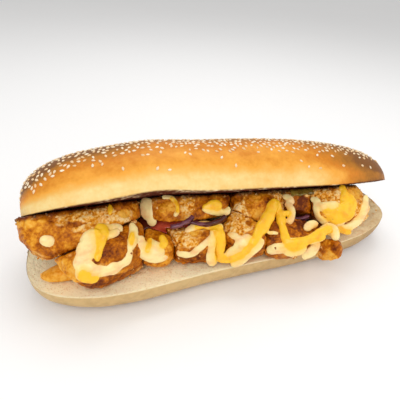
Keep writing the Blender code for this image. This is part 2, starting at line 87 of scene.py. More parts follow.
class Coat(Enum):
    """How the breading of a fried piece looks: crumbly share, depth of the crags, and tone."""

    SAUCED = (0.12, 0.9, 0.15)
    GOLDEN = (0.15, 1.0, 0.4)
    CRUMBLY = (0.55, 1.15, 0.35)
    DARK = (0.0, 0.6, -0.2)
    GLAZED = (0.05, 0.55, 0.7)


# Numbers and noise


def smoothstep(low: float, high: float, value: np.ndarray | float) -> np.ndarray:
    """Eases from 0 to 1.

    Args:
        low: The value that gives 0.
        high: The value that gives 1.
        value: What is eased.

    Returns:
        The eased share, of the shape of the value.
    """
    t = np.clip((np.asarray(value, float) - low) / (high - low), 0.0, 1.0)
    return t * t * (3 - 2 * t)


def signed_power(value: np.ndarray, power: float) -> np.ndarray:
    """The power of the absolute value, with the value's sign."""
    return np.copysign(np.abs(value) ** power, value)


def waves(points: np.ndarray, span: float, shift: float = 0.0) -> np.ndarray:
    """Smooth noise at each point.

    Args:
        points: Places in metres.
        span: The distance over which the noise changes, in metres.
        shift: Moves the pattern, so that no two look alike.

    Returns:
        One value for each point, from -1 to 1.
    """
    offset = Vector((shift, 1.7 * shift, -shift))
    return np.array([noise.noise(Vector(p) / span + offset) for p in points])


def knobs(points: np.ndarray, span: float, shift: float = 0.0) -> np.ndarray:
    """Rounded knobs with narrow creases between them.

    Args:
        points: Places in metres.
        span: The distance between knobs, in metres.
        shift: Moves the pattern.

    Returns:
        One value for each point, 1 on a knob and about 0 in a crease.
    """
    steepness, roundness = 1.6, 0.6
    offset = Vector((shift, -shift, 2.3 * shift))
    nearest = [noise.voronoi(Vector(p) / span + offset)[0] for p in points]
    return np.array([min(1.0, (d[1] - d[0]) * steepness) ** roundness for d in nearest])


def even(points: np.ndarray, count: int) -> np.ndarray:
    """Spreads points evenly along a line.

    Args:
        points: The corners of the line.
        count: How many points are wanted.

    Returns:
        The points, both ends included.
    """
    steps = np.linalg.norm(np.diff(points, axis=0), axis=1)
    reached = np.concatenate(([0.0], np.cumsum(steps)))
    if reached[-1] == 0:
        return np.repeat(points[:1], count, axis=0)
    wanted = np.linspace(0, reached[-1], count)
    return np.stack([np.interp(wanted, reached, points[:, i]) for i in range(3)], axis=1)


# Objects and their meshes


def only(*things: bpy.types.Object) -> None:
    """Selects some objects and no others.

    Args:
        things: The objects, the first of which becomes the active one.
    """
    bpy.ops.object.select_all(action="DESELECT")
    for thing in things:
        thing.select_set(True)
    bpy.context.view_layer.objects.active = things[0]


def named(name: str) -> bpy.types.Object:
    """Names the active object and its mesh.

    Args:
        name: The name for both.

    Returns:
        The object.
    """
    thing = bpy.context.object
    thing.name = name
    thing.data.name = name
    return thing


def added(name: str, data: bpy.types.ID) -> bpy.types.Object:
    """Adds an object to the scene.

    Args:
        name: The object's name.
        data: Its mesh, light or camera.

    Returns:
        The object.
    """
    thing = bpy.data.objects.new(name, data)
    bpy.context.scene.collection.objects.link(thing)
    return thing


def remove(*things: bpy.types.Object) -> None:
    """Deletes objects that have served their purpose."""
    for thing in things:
        bpy.data.objects.remove(thing)


def rows_of(items: bpy.types.bpy_prop_collection, key: str) -> np.ndarray:
    """Reads a vector of each item.

    Args:
        items: The items, such as a mesh's vertices.
        key: What the vector is called.

    Returns:
        One row for each item.
    """
    flat = np.empty(len(items) * 3)
    items.foreach_get(key, flat)
    return flat.reshape(-1, 3)


def places_of(thing: bpy.types.Object) -> np.ndarray:
    """The places of the object's vertices, one row each."""
    return rows_of(thing.data.vertices, "co")


def facing_of(thing: bpy.types.Object) -> np.ndarray:
    """The normals of the object's vertices, one row each."""
    return rows_of(thing.data.vertex_normals, "vector")


def set_places(thing: bpy.types.Object, points: np.ndarray) -> None:
    """Moves the object's vertices to those places."""
    thing.data.vertices.foreach_set("co", np.ascontiguousarray(points, float).ravel())
    thing.data.update()


def swell(thing: bpy.types.Object, heights: np.ndarray) -> None:
    """Moves each vertex outwards by its height in metres, or inwards where that is below 0."""
    set_places(thing, places_of(thing) + facing_of(thing) * heights[:, None])


def paint(thing: bpy.types.Object, name: str, values: np.ndarray) -> None:
    """Stores one number for each vertex, for a material to read."""
    layer = thing.data.attributes.get(name) or thing.data.attributes.new(name, "FLOAT", "POINT")
    layer.data.foreach_set("value", np.ascontiguousarray(values, np.float32))


def painted(thing: bpy.types.Object, name: str) -> np.ndarray:
    """Reads what paint has stored.

    Args:
        thing: The object.
        name: The name that the numbers are stored under.

    Returns:
        One number for each vertex.
    """
    values = np.empty(len(thing.data.vertices), np.float32)
    thing.data.attributes[name].data.foreach_get("value", values)
    return values


def apply_modifier(thing: bpy.types.Object, kind: str, **settings: object) -> None:
    """Adds a modifier to an object and applies it.

    Args:
        thing: The object.
        kind: The modifier's type.
        settings: Its settings.
    """
    modifier = thing.modifiers.new(kind.lower(), kind)
    for key, value in settings.items():
        setattr(modifier, key, value)
    only(thing)
    bpy.ops.object.modifier_apply(modifier=modifier.name)


def remesh(thing: bpy.types.Object, voxel: float, rounds: int) -> None:
    """Gives the object one closed skin with faces of that size, evened out in that many rounds."""
    apply_modifier(thing, "REMESH", mode="VOXEL", voxel_size=voxel, adaptivity=0)
    apply_modifier(thing, "SMOOTH", factor=0.5, iterations=rounds)


def merge(thing: bpy.types.Object, distance: float) -> None:
    """Merges vertices that lie close together and turns all faces outwards.

    Args:
        thing: The object.
        distance: How close together they lie, in metres.
    """
    only(thing)
    bpy.ops.object.mode_set(mode="EDIT")
    bpy.ops.mesh.select_all(action="SELECT")
    bpy.ops.mesh.remove_doubles(threshold=distance)
    bpy.ops.mesh.normals_make_consistent(inside=False)
    bpy.ops.mesh.select_all(action="DESELECT")
    bpy.ops.object.mode_set(mode="OBJECT")


def smooth(thing: bpy.types.Object) -> None:
    """Shades the object smooth."""
    only(thing)
    bpy.ops.object.shade_smooth()


def dress(thing: bpy.types.Object, material: bpy.types.Material, slot: str, *nodes: str) -> None:
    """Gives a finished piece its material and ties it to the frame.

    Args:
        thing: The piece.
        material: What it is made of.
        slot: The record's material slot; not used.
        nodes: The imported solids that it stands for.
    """
    thing.data.materials.clear()
    thing.data.materials.append(material)
    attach(thing, BODY)
    if nodes:
        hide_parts(*nodes)
    log.info("%s: %d vertices", thing.name, len(thing.data.vertices))


def fine_copy(frame: dict, node: str, voxel: float) -> bpy.types.Object:
    """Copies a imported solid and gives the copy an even, fine mesh.

    Args:
        frame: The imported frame.
        node: The solid's name.
        voxel: The size of the new faces.

    Returns:
        The copy, with a hyphen for each _ of the name.
    """
    name = node.replace("_", "-")
    copy = added(name, frame["nodes"][node].data.copy())
    copy.data.name = name
    merge(copy, TOUCHING)
    remesh(copy, voxel, 3)
    return copy


def scatter(
    name: str, shapes: list[bpy.types.Object], spots: list[Matrix], marks: dict[str, list[float]]
) -> bpy.types.Object:
    """Copies small shapes to many places and joins the copies to one piece.

    Args:
        name: The piece's name.
        shapes: The shapes, used in turn. They are deleted afterwards.
        spots: Where each copy goes.
        marks: For each stored name, one number for each copy.

    Returns:
        The piece.
    """
    verts, faces, counts = [], [], []
    for i, spot in enumerate(spots):
        shape = shapes[i % len(shapes)].data
        start = sum(counts)
        verts += [spot @ v.co for v in shape.vertices]
        faces += [[start + j for j in p.vertices] for p in shape.polygons]
        counts.append(len(shape.vertices))
    mesh = bpy.data.meshes.new(name)
    mesh.from_pydata(verts, [], faces)
    thing = added(name, mesh)
    for mark, values in marks.items():
        paint(thing, mark, np.repeat(values, counts))
    remove(*shapes)
    return thing


# Materials


def linear(colour: str) -> tuple[float, float, float, float]:
    """Linear RGBA of a colour written as six hexadecimal digits."""
    channels = [int(colour[i : i + 2], 16) / 255 for i in (0, 2, 4)]
    return tuple(c / 12.92 if c <= 0.04045 else ((c + 0.055) / 1.055) ** 2.4 for c in channels) + (1.0,)


class Recipe:
    """A Principled material in the making, with short words for the nodes that the finishes share."""

    def __init__(self, name: str, roughness: float = 0.5, **sockets: float) -> None:
        """Starts the material.

        Args:
            name: The material's name.
            roughness: The shader's roughness.
            sockets: Further values of the shader's own sockets, with _ for a space.
        """
        self.material = bpy.data.materials.new(name)
        self.material.use_nodes = True
        self.tree = self.material.node_tree
        self.shader = self.tree.nodes["Principled BSDF"]
        self.shader.inputs["Roughness"].default_value = roughness
        for key, value in sockets.items():
            self.shader.inputs[key.replace("_", " ")].default_value = value
        self.place = self.tree.nodes.new("ShaderNodeTexCoord").outputs["Object"]

    def feed(self, entry: bpy.types.NodeSocket, value: object) -> None:
        """Feeds a node's input.

        Args:
            entry: The input.
            value: A socket to link to it, a colour as six hexadecimal digits, or the value itself.
        """
        if isinstance(value, bpy.types.NodeSocket):
            self.tree.links.new(value, entry)
        else:
            entry.default_value = linear(value) if isinstance(value, str) else value

    def node(self, kind: str, inputs: dict[int | str, object], **settings: object) -> bpy.types.Node:
        """Adds a node.

        Args:
            kind: The node's type, without its ShaderNode prefix.
            inputs: What its inputs are fed with.
            settings: Its properties.

        Returns:
            The node.
        """
        made = self.tree.nodes.new("ShaderNode" + kind)
        for key, value in settings.items():
            setattr(made, key, value)
        for key, value in inputs.items():
            self.feed(made.inputs[key], value)
        return made

    def stored(self, name: str) -> bpy.types.NodeSocket:
        """The number that the mesh stores under that name."""
        return self.node("Attribute", {}, attribute_name=name).outputs["Fac"]

    def grain(
        self, size: float, detail: float = 3.0, stretch: tuple[float, float, float] = (1, 1, 1)
    ) -> bpy.types.NodeSocket:
        """Noise.

        Args:
            size: The size of its features, in metres.
            detail: How many finer layers it has.
            stretch: How much denser it is along each axis.

        Returns:
            The noise, mostly between 0.3 and 0.7.
        """
        mapped = self.node("Mapping", {"Vector": self.place, "Scale": stretch})
        inputs = {"Vector": mapped.outputs[0], "Scale": 1 / size, "Detail": detail}
        return self.node("TexNoise", inputs).outputs["Fac"]

    def cells(self, size: float) -> bpy.types.NodeSocket:
        """How far off the nearest of scattered points is, as a share of the distance between them."""
        return self.node("TexVoronoi", {"Vector": self.place, "Scale": 1 / size}).outputs["Distance"]

    def sum(self, *terms: tuple[bpy.types.NodeSocket, float], start: float = 0.0) -> bpy.types.NodeSocket:
        """Adds up sources.

        Args:
            terms: Each source with its weight.
            start: What they are added to.

        Returns:
            The sum.
        """
        total: object = start
        for source, weight in terms:
            total = self.node("Math", {0: source, 1: weight, 2: total}, operation="MULTIPLY_ADD").outputs[0]
        return total

    def ramp(self, source: bpy.types.NodeSocket, *stops: tuple[float, str]) -> bpy.types.NodeSocket:
        """Turns numbers into colours.

        Args:
            source: The numbers.
            stops: Values with the colours that they get.

        Returns:
            The colour.
        """
        made = self.node("ValToRGB", {0: source})
        elements = made.color_ramp.elements
        while len(elements) < len(stops):
            elements.new(0.5)
        for element, (place, colour) in zip(elements, stops):
            element.position = place
            element.color = linear(colour)
        return made.outputs["Color"]

    def mix(self, share: object, first: object, second: object) -> bpy.types.NodeSocket:
        """The first colour where the share is 0 and the second where it is 1."""
        return self.node("Mix", {0: share, 6: first, 7: second}, data_type="RGBA").outputs[2]

    def blend(self, share: object, first: object, second: object) -> bpy.types.NodeSocket:
        """The first number where the share is 0 and the second where it is 1."""
        return self.node("Mix", {0: share, 2: first, 3: second}).outputs[0]

    def span(self, source: bpy.types.NodeSocket, low: float, high: float) -> bpy.types.NodeSocket:
        """0 where the source is at the low value, 1 at the high one."""
        inputs = {"Value": source, "From Min": low, "From Max": high}
        return self.node("MapRange", inputs, interpolation_type="SMOOTHSTEP").outputs["Result"]

    def colour(self, source: bpy.types.NodeSocket) -> None:
        """Sets the base colour."""
        self.feed(self.shader.inputs["Base Color"], source)

    def rough(self, source: bpy.types.NodeSocket) -> None:
        """Sets the roughness."""
        self.feed(self.shader.inputs["Roughness"], source)

    def bump(self, height: bpy.types.NodeSocket, depth: float, strength: float) -> None:
        """Sets the fine relief, of that depth in metres."""
        made = self.node("Bump", {"Height": height, "Distance": depth, "Strength": strength})
        self.feed(self.shader.inputs["Normal"], made.outputs[0])


# Finishes


@dataclass(frozen=True)
class BreadFinish:
    """Satin crust, pale to golden brown as baked; crumb with painted shade in pores, sauce stains, soak with
    painted shade.
    """

    pale: str = "F6D892"
    straw: str = "F1BC62"
    golden: str = "F0A63C"
    brown: str = "D4801A"
    tan: str = "AE6E18"
    dark: str = "82501C"
    heel_pale: str = "D4B27A"
    heel_tan: str = "96703E"
    crumb: str = "FFF0C6"
    # painted shade in the crumb's pores, where the bump sinks the surface
    pore_shade: str = "EEC68A"
    stain: str = "D29E58"
    # sauce soak with painted shade, on the crown's crumb over the filling
    soak_and_shade: str = "5E2410"
    blotch_size: float = 26 * MM
    mottle_size: float = 8 * MM
    fleck_size: float = 5 * MM
    fine_size: float = 2.2 * MM
    wrinkle_size: float = 0.9 * MM
    pore_size: float = 1.5 * MM
    cloud_size: float = 4 * MM
    grit_size: float = 1.1 * MM
    depth: float = 0.5 * MM

    def build(self) -> bpy.types.Material:
        """Makes the material.

        Returns:
            The material, which reads bake, heel, crumb, stain and soak_and_shade from the mesh.
        """
        recipe = Recipe("bread", 0.5, Subsurface_Weight=0.04, Subsurface_Scale=0.002, Specular_IOR_Level=0.22)
        fine, crumb = recipe.grain(self.fine_size, 4.0), recipe.stored("crumb")
        pores = recipe.span(recipe.cells(self.pore_size), 0.4, 0.05)
        recipe.colour(recipe.mix(crumb, self.crust(recipe, fine), self.inside(recipe, pores)))
        recipe.rough(recipe.sum((crumb, 0.42), (fine, 0.12), start=0.4))
        wrinkles = recipe.sum((recipe.grain(self.wrinkle_size), 0.25), (recipe.grain(self.cloud_size), 0.3))
        crumbly = recipe.sum((pores, -0.9), (recipe.grain(self.grit_size, 6.0), 1.2))
        recipe.bump(recipe.blend(crumb, wrinkles, crumbly), self.depth, 0.7)
        return recipe.material

    def crust(self, recipe: Recipe, fine: bpy.types.NodeSocket) -> bpy.types.NodeSocket:
        """Colours the crust.

        Args:
            recipe: The material in the making.
            fine: Its fine noise.

        Returns:
            The colour: baked on the crown, and duller on the heel.
        """
        blotch = recipe.grain(self.blotch_size, 2.0, (0.5, 1, 1))
        mottle = recipe.grain(self.mottle_size, 3.0)
        bake = recipe.stored("bake")
        baked = recipe.sum((bake, 1.0), (blotch, 0.44), (mottle, 0.3), (fine, 0.16), start=-0.45)
        crown = recipe.ramp(
            baked,
            (0.0, self.pale),
            (0.22, self.straw),
            (0.42, self.golden),
            (0.62, self.brown),
            (0.82, self.tan),
            (1.0, self.dark),
        )
        flecked = recipe.sum((baked, 1.0), (recipe.grain(self.fleck_size, 4.0), 0.7), start=-0.3)
        heel = recipe.ramp(flecked, (0.0, self.heel_pale), (0.8, self.heel_tan))
        return recipe.mix(recipe.stored("heel"), crown, heel)

    def inside(self, recipe: Recipe, pores: bpy.types.NodeSocket) -> bpy.types.NodeSocket:
        """Colours the crumb.

        Args:
            recipe: The material in the making.
            pores: Where its pores are.

        Returns:
            The colour, with painted shade in the pores, the stains of the sauce, and sauce soak with painted
            shade.
        """
        # painted shade in the pores, mixed with random cloudy tone
        shade = recipe.sum((pores, 0.8), (recipe.grain(self.cloud_size, 5.0), 1.1), start=-0.62)
        soft = recipe.mix(shade, self.crumb, self.pore_shade)
        flecks = recipe.grain(self.fleck_size, 6.0)
        stained = recipe.sum((recipe.stored("stain"), 1.0), (flecks, 1.3), start=-0.9)
        soft = recipe.mix(stained, soft, self.stain)
        # sauce soak with painted shade on the crown's crumb
        return recipe.mix(recipe.stored("soak_and_shade"), soft, self.soak_and_shade)


@dataclass(frozen=True)
class SeedFinish:
    """Sesame seeds, ivory to lightly toasted."""

    ivory: str = "FBEFD2"
    toasted: str = "E8B878"
    patch_size: float = 1.2 * MM
    pit_size: float = 0.5 * MM
    depth: float = 0.1 * MM

    def build(self) -> bpy.types.Material:
        """Makes the material.

        Returns:
            The material, which reads toast from the mesh.
        """
        recipe = Recipe("sesame", 0.42)
        tone = recipe.sum((recipe.stored("toast"), 0.8), (recipe.grain(self.patch_size), 0.4), start=-0.1)
        recipe.colour(recipe.ramp(tone, (0.0, self.ivory), (1.0, self.toasted)))
        recipe.bump(recipe.grain(self.pit_size), self.depth, 0.4)
        return recipe.material


@dataclass(frozen=True)
class FriedFinish:
    """Crisp sauced breading: painted shade in creases and under the crown, orange-brown flats, lighter golden
    ridges, beige crumbs.
    """

    # painted shade in the creases of the breading
    crease: str = "642600"
    brown: str = "9C4E00"
    orange: str = "C87208"
    golden: str = "EA9E28"
    honey: str = "F4B648"
    beige: str = "F9CE82"
    bright: str = "FFE0AC"
    # painted shade under the crown, where it also stands for sauce soak
    soak_and_shade_dark: str = "52180A"
    patch_size: float = 9 * MM
    fleck_size: float = 1.5 * MM
    grit_size: float = 1.7 * MM
    pit_size: float = 0.6 * MM
    depth: float = 0.5 * MM

    def build(self) -> bpy.types.Material:
        """Makes the material.

        Returns:
            The material, which reads crag_shade, tone, crumbly and soak_and_shade from the mesh.
        """
        recipe = Recipe("fried_coating", 0.4, Specular_IOR_Level=0.14)
        crag_shade, tone, crumbly = (recipe.stored(name) for name in ("crag_shade", "tone", "crumbly"))
        flecks = recipe.grain(self.fleck_size, 5.0)
        patches = recipe.grain(self.patch_size, 3.0)
        # the crag value is painted shade: dark in the creases, lighter on the ridges
        level = recipe.sum((crag_shade, 0.45), (tone, 0.45), (flecks, 0.8), (patches, 1.1), start=-0.9)
        coat = recipe.ramp(
            level,
            (0.0, self.crease),
            (0.25, self.brown),
            (0.5, self.orange),
            (0.75, self.golden),
            (1.0, self.honey),
        )
        gritty = recipe.grain(self.grit_size, 4.0)
        # the crumbs too are painted darker in creases and lighter on ridges
        grit = recipe.sum((crag_shade, 0.7), (gritty, 1.2), (patches, 0.5), start=-0.72)
        crumbs = recipe.ramp(
            grit,
            (0.0, self.brown),
            (0.22, self.orange),
            (0.4, self.golden),
            (0.65, self.beige),
            (1.0, self.bright),
        )
        look = recipe.mix(crumbly, coat, crumbs)
        # painted shade under the crown, laid over the breading and also standing for sauce soak
        recipe.colour(recipe.mix(recipe.stored("soak_and_shade"), look, self.soak_and_shade_dark))
        recipe.rough(recipe.sum((crumbly, 0.3), (flecks, 0.25), start=0.25))
        pits = recipe.grain(self.pit_size)
        recipe.bump(recipe.sum((flecks, 1.0), (pits, 0.5)), self.depth, 0.7)
        return recipe.material


@dataclass(frozen=True)
class SauceFinish:
    """Thick glossy sauces: cream with a blush of the yellow one, and saturated yellow."""

    cream: str = "FBE29C"
    blush: str = "F4C484"
    yellow: str = "FDC326"
    amber: str = "F7A91C"
    swirl_size: float = 9 * MM
    cloud_size: float = 6 * MM
    ripple_size: float = 3 * MM
    depth: float = 0.3 * MM

    def build(self) -> bpy.types.Material:
        """Makes the material.

        Returns:
            The material, which reads yellow and tint from the mesh.
        """
        recipe = Recipe(
            "drizzled_sauces", 0.26, Subsurface_Weight=0.06, Subsurface_Scale=0.002, Specular_IOR_Level=0.4
        )
        swirl = recipe.span(recipe.grain(self.swirl_size, 3.0, (1, 1, 1.6)), 0.42, 0.72)
        cloud = recipe.span(recipe.grain(self.cloud_size, 2.0), 0.45, 0.8)
        cream = recipe.mix(swirl, self.cream, self.blush)
        cream = recipe.mix(recipe.stored("tint"), cream, self.yellow)
        yellow = recipe.mix(cloud, self.yellow, self.amber)
        recipe.colour(recipe.mix(recipe.stored("yellow"), cream, yellow))
        recipe.bump(recipe.grain(self.ripple_size, 2.0), self.depth, 0.35)
        return recipe.material


@dataclass(frozen=True)
class VegetableFinish:
    """Moist vegetable with a coloured skin: flesh inside, rim outside, fine veins and patches of painted
    shade.
    """

    name: str
    flesh: str
    blush: str
    rim: str
    vein_size: float
    # painted shade on the vegetables
    soak_and_shade: str = "4A1608"
    depth: float = 0.3 * MM

    def build(self) -> bpy.types.Material:
        """Makes the material.

        Returns:
            The material, which reads rim and soak_and_shade from the mesh.
        """
        recipe = Recipe(self.name, 0.22, Subsurface_Weight=0.2, Subsurface_Scale=0.002)
        veins = recipe.grain(self.vein_size, 3.0, (0.4, 1, 1))
        inside = recipe.mix(recipe.span(veins, 0.35, 0.65), self.flesh, self.blush)
        outside = recipe.mix(recipe.stored("rim"), inside, self.rim)
        # patches of painted shade
        recipe.colour(recipe.mix(recipe.stored("soak_and_shade"), outside, self.soak_and_shade))
        recipe.bump(veins, self.depth, 0.4)
        return recipe.material


# The roll and its seeds


@dataclass
class Roll:
    """The roll: a heel and a crown that meet at the hinge, made of one mesh.

    A place along the roll is given as u, which is -1 at its left tip and 1 at its right tip.
    """

    length: float = 300 * MM
    width: float = 101 * MM
    taper: float = 0.12
    cut_height: float = 23 * MM
    heel_press: float = 1.6 * MM
    crown_height: float = 44.8 * MM
    plan_power: float = 3.2
    crown_powers: tuple[float, float] = (3.6, 2.5)  # at its left and its right end
    heel_power: float = 4.0
    crown_round: tuple[float, float] = (0.8, 0.8)  # powers of the section's side and lift, 1 for an ellipse
    heel_round: tuple[float, float] = (0.5, 0.75)
    splay: float = 8 * MM
    splay_span: tuple[float, float] = (-0.05, -0.75)
    curl: float = 4 * MM
    curl_start: float = 0.7
    hinge: float = 40 * MM
    open_ends: tuple[float, float] = (math.radians(34.3), math.radians(34.1))
    arch: float = math.radians(2.6)
    arch_skew: float = 1.2
    push: float = math.radians(1.7)
    push_at: float = -0.38
    push_span: float = 0.16
    tip_gape: float = math.radians(1.5)
    tip_start: float = 0.5
    tuck: float = 3 * MM
    tuck_start: float = -0.6
    crease_at: float = -64 * MM
    crease_span: float = 1.3 * MM
    bend_from: float = math.radians(110)
    bend_to: float = math.radians(250)
    step: float = 1.5 * MM
    cut_columns: int = 56
    outer_columns: tuple[int, int] = (84, 112)
    outline_points: int = 2001
    section_points: int = 361
    parting: float = 0.0005 * MM
    weld: float = 0.01 * MM
    stain_reach: float = 12 * MM
    heel_bake: tuple[float, float, float] = (0.05, 0.6, 0.4)  # its front edge, its side and its right end
    left_bake: float = 0.4
    right_bake: float = 0.94
    right_fade: float = 1.5
    browning: tuple[tuple[float, float], ...] = (
        (0.0, 0.14), (0.03, 0.05), (0.065, 0.08), (0.1, 0.3), (0.14, 0.46), (0.2, 0.5), (0.26, 0.6),
        (0.31, 0.78), (0.36, 0.85), (0.5, 0.86), (1.0, 0.82),
    )

    def share(self, u: np.ndarray, power: float) -> np.ndarray:
        """Share of its full size that the roll has at u."""
        return np.maximum(0.0, 1 - np.abs(u) ** power) ** (1 / power)

    def half_width(self, u: np.ndarray) -> np.ndarray:
        """Half the roll's width at u."""
        return self.width / 2 * (1 - self.taper * u) * self.share(u, self.plan_power)

    def hinge_y(self, x: np.ndarray) -> np.ndarray:
        """Where the hinge lies at x."""
        return self.hinge * (1 - self.taper * 2 * x / self.length)

    def opening(self, x: np.ndarray) -> np.ndarray:
        """How far the crown is folded open.

        Args:
            x: Places along the roll, in metres.

        Returns:
            One angle for each place, in radians.
        """
        u = np.clip(2 * x / self.length, -1, 1)
        left, right = self.open_ends
        arch = self.arch * (1 - u * u) * (1 - self.arch_skew * u)
        push = self.push * np.exp(-(((u - self.push_at) / self.push_span) ** 2))
        gape = self.tip_gape * smoothstep(self.tip_start, 1, u)
        return left + (right - left) * (u + 1) / 2 + arch + push + gape

    def over_cut(self, points: np.ndarray) -> np.ndarray:
        """Heights over the crown's cut face.

        Args:
            points: Places in metres.

        Returns:
            One height for each place, below 0 in the mouth of the roll.
        """
        x, y, z = points.T
        angle = self.opening(x)
        return (y - self.hinge_y(x)) * np.sin(angle) + (z - self.cut_height) * np.cos(angle)

    def closed(self, u: float, around: np.ndarray) -> np.ndarray:
        """Points of the uncut roll.

        Args:
            u: Where along the roll.
            around: Angles round the section, 0 at the front, a quarter turn at the top.

        Returns:
            One row for each angle.
        """
        side, lift = -np.cos(around), np.sin(around)
        upper = lift >= 0
        crown_side, crown_lift = self.crown_round
        heel_side, heel_lift = self.heel_round
        bulge = np.where(upper, signed_power(side, crown_side), signed_power(side, heel_side))
        height = self.crown_height * self.share(u, self.crown_powers[int(u > 0)])
        high = self.cut_height + height * np.abs(lift) ** crown_lift
        depth = (self.cut_height + self.heel_press) * self.share(u, self.heel_power)
        low = np.maximum(0.0, self.cut_height - depth * np.abs(lift) ** heel_lift)
        x = np.full_like(side, u * self.length / 2)
        return np.stack([x, self.half_width(u) * bulge, np.where(upper, high, low)], axis=1)

    def fold(self, points: np.ndarray) -> np.ndarray:
        """Folds the crown open and lets the heel settle.

        Args:
            points: Points of the closed roll.

        Returns:
            Where they go.
        """
        x, y, z = points.T
        u = 2 * x / self.length
        back, up = y - self.hinge_y(x), z - self.cut_height
        reach, around = np.hypot(back, up), np.arctan2(up, -back) % math.tau
        crown = 1 - smoothstep(self.bend_from, self.bend_to, around)
        heel = 1 - crown
        turned = around + self.opening(x) * crown
        opened_y = self.hinge_y(x) - reach * np.cos(turned)
        opened_z = self.cut_height + reach * np.sin(turned)
        splay = self.splay * smoothstep(0, self.width / 2, -opened_y) * smoothstep(*self.splay_span, u)
        curl = self.curl * smoothstep(self.curl_start, 1, u)
        tuck = self.tuck * crown * smoothstep(self.tuck_start, -1, u)
        return np.stack([x + tuck, opened_y - splay * heel, opened_z + curl * heel], axis=1)

    def surface(self, u: float, around: float) -> tuple[Vector, Vector]:
        """Finds a place on the opened roll.

        Args:
            u: Where along the roll.
            around: The angle round its section.

        Returns:
            The point and its outward normal.
        """
        small = 1e-3
        here, after, before = self.fold(self.closed(u, np.array([around, around + small, around - small])))
        ahead = self.fold(self.closed(u + small, np.array([around])))[0]
        behind = self.fold(self.closed(u - small, np.array([around])))[0]
        return Vector(here), -Vector(np.cross(ahead - behind, after - before)).normalized()

    def stations(self) -> np.ndarray:
        """Spreads the sections along the roll.

        Returns:
            Their u, close together at the tips, with one just where the hinge leaves the bread.
        """
        turn = np.linspace(-math.pi / 2, math.pi / 2, self.outline_points)
        u = np.sin(turn)
        outline = np.stack([u * self.length / 2, self.half_width(u), 0 * u], axis=1)
        count = round(float(np.linalg.norm(np.diff(outline, axis=0), axis=1).sum()) / self.step)
        spread = even(outline, count)[:, 0] * 2 / self.length
        spread[[0, -1]] = -1, 1
        leaves = (1 - (self.hinge / (self.width / 2)) ** self.plan_power) ** (1 / self.plan_power)
        for place in (-leaves, leaves):
            spread[np.argmin(np.abs(spread - place))] = place
        return spread

    def half(self, upper: bool) -> bpy.types.Object:
        """Wraps a grid round the crown or the heel: from the hinge over cut face and crust to the back.

        Args:
            upper: Whether it is the crown.

        Returns:
            The grid, with what is crumb and how far it is baked stored on it.
        """
        stations = self.stations()
        outer_columns = self.outer_columns[int(upper)]
        columns = self.cut_columns + outer_columns - 1
        bpy.ops.mesh.primitive_grid_add(x_subdivisions=len(stations) - 1, y_subdivisions=columns - 1, size=1)
        grid = named("crown" if upper else "heel")
        spots = places_of(grid)
        along = np.rint((spots[:, 0] + 0.5) * (len(stations) - 1)).astype(int)
        across = np.rint((spots[:, 1] + 0.5) * (columns - 1)).astype(int)
        sign = 1 if upper else -1
        angles = np.linspace(0 if upper else math.tau, math.pi, self.section_points)
        arc = np.linspace(0, 1, outer_columns)
        rows, baked = [], []
        for u in stations:
            outer = even(self.closed(u, angles), outer_columns)
            outer[:, 2] = sign * np.maximum(sign * outer[:, 2], sign * self.cut_height + self.parting)
            inner_y = min(self.hinge_y(u * self.length / 2), outer[-1, 1])
            cut = np.repeat(outer[:1], self.cut_columns, axis=0)
            cut[:, 1] = inner_y + (outer[0, 1] - inner_y) * np.linspace(0, 1, self.cut_columns)
            rows.append(self.fold(np.concatenate([cut[:-1], outer])))
            baked.append(np.concatenate([np.zeros(self.cut_columns - 1), self.baking(u, arc, upper)]))
        crumb = np.concatenate([np.ones(self.cut_columns - 1), [CUT_RIM], np.zeros(outer_columns - 1)])
        set_places(grid, np.array(rows)[along, across])
        paint(grid, "crumb", crumb[across])
        paint(grid, "bake", np.array(baked)[along, across])
        paint(grid, "heel", np.full(len(spots), 0.0 if upper else 1.0))
        paint(grid, "edge", np.abs(across - self.cut_columns + 1) / outer_columns)
        return grid

    def baking(self, u: float, arc: np.ndarray, upper: bool) -> np.ndarray:
        """How brown the crust is.

        Args:
            u: Where along the roll.
            arc: Shares of the way from the front edge over the crust to the back.
            upper: Whether it is the crown.

        Returns:
            0 for pale and 1 for dark brown, one value for each share.
        """
        if not upper:
            front, side, right_end = self.heel_bake
            return front + side * smoothstep(0.03, 0.3, arc) + right_end * smoothstep(0.4, 0.9, u)
        left, right = smoothstep(0.0, -0.9, u), smoothstep(0.3, 0.88, u)
        spread = np.interp(arc * (1 + 0.2 * left), *zip(*self.browning))
        top = spread + 0.2 * left * smoothstep(0.14, 0.24, arc)
        left_tip = self.left_bake * smoothstep(-0.72, -0.98, u) * smoothstep(0.05, 0.2, arc)
        right_tip = right * (self.right_bake - self.right_fade * arc)
        return top * smoothstep(1.0, 0.75, arc) + (left_tip + right_tip)

    def build(self, filling: BVHTree, finish: BreadFinish) -> bpy.types.Object:
        """Makes the roll in place of its solid.

        Args:
            filling: The surface of the filling, whose sauce stains the crumb and near which the crown's crumb
                gets painted shade.
            finish: The bread's finish.

        Returns:
            The roll.
        """
        crown, heel = self.half(True), self.half(False)
        only(crown, heel)
        bpy.ops.object.join()
        roll = named("split_roll")
        merge(roll, self.weld)
        self.relieve(roll)
        self.soil(roll, filling)
        smooth(roll)
        dress(roll, finish.build(), "bread", "sub_roll")
        return roll

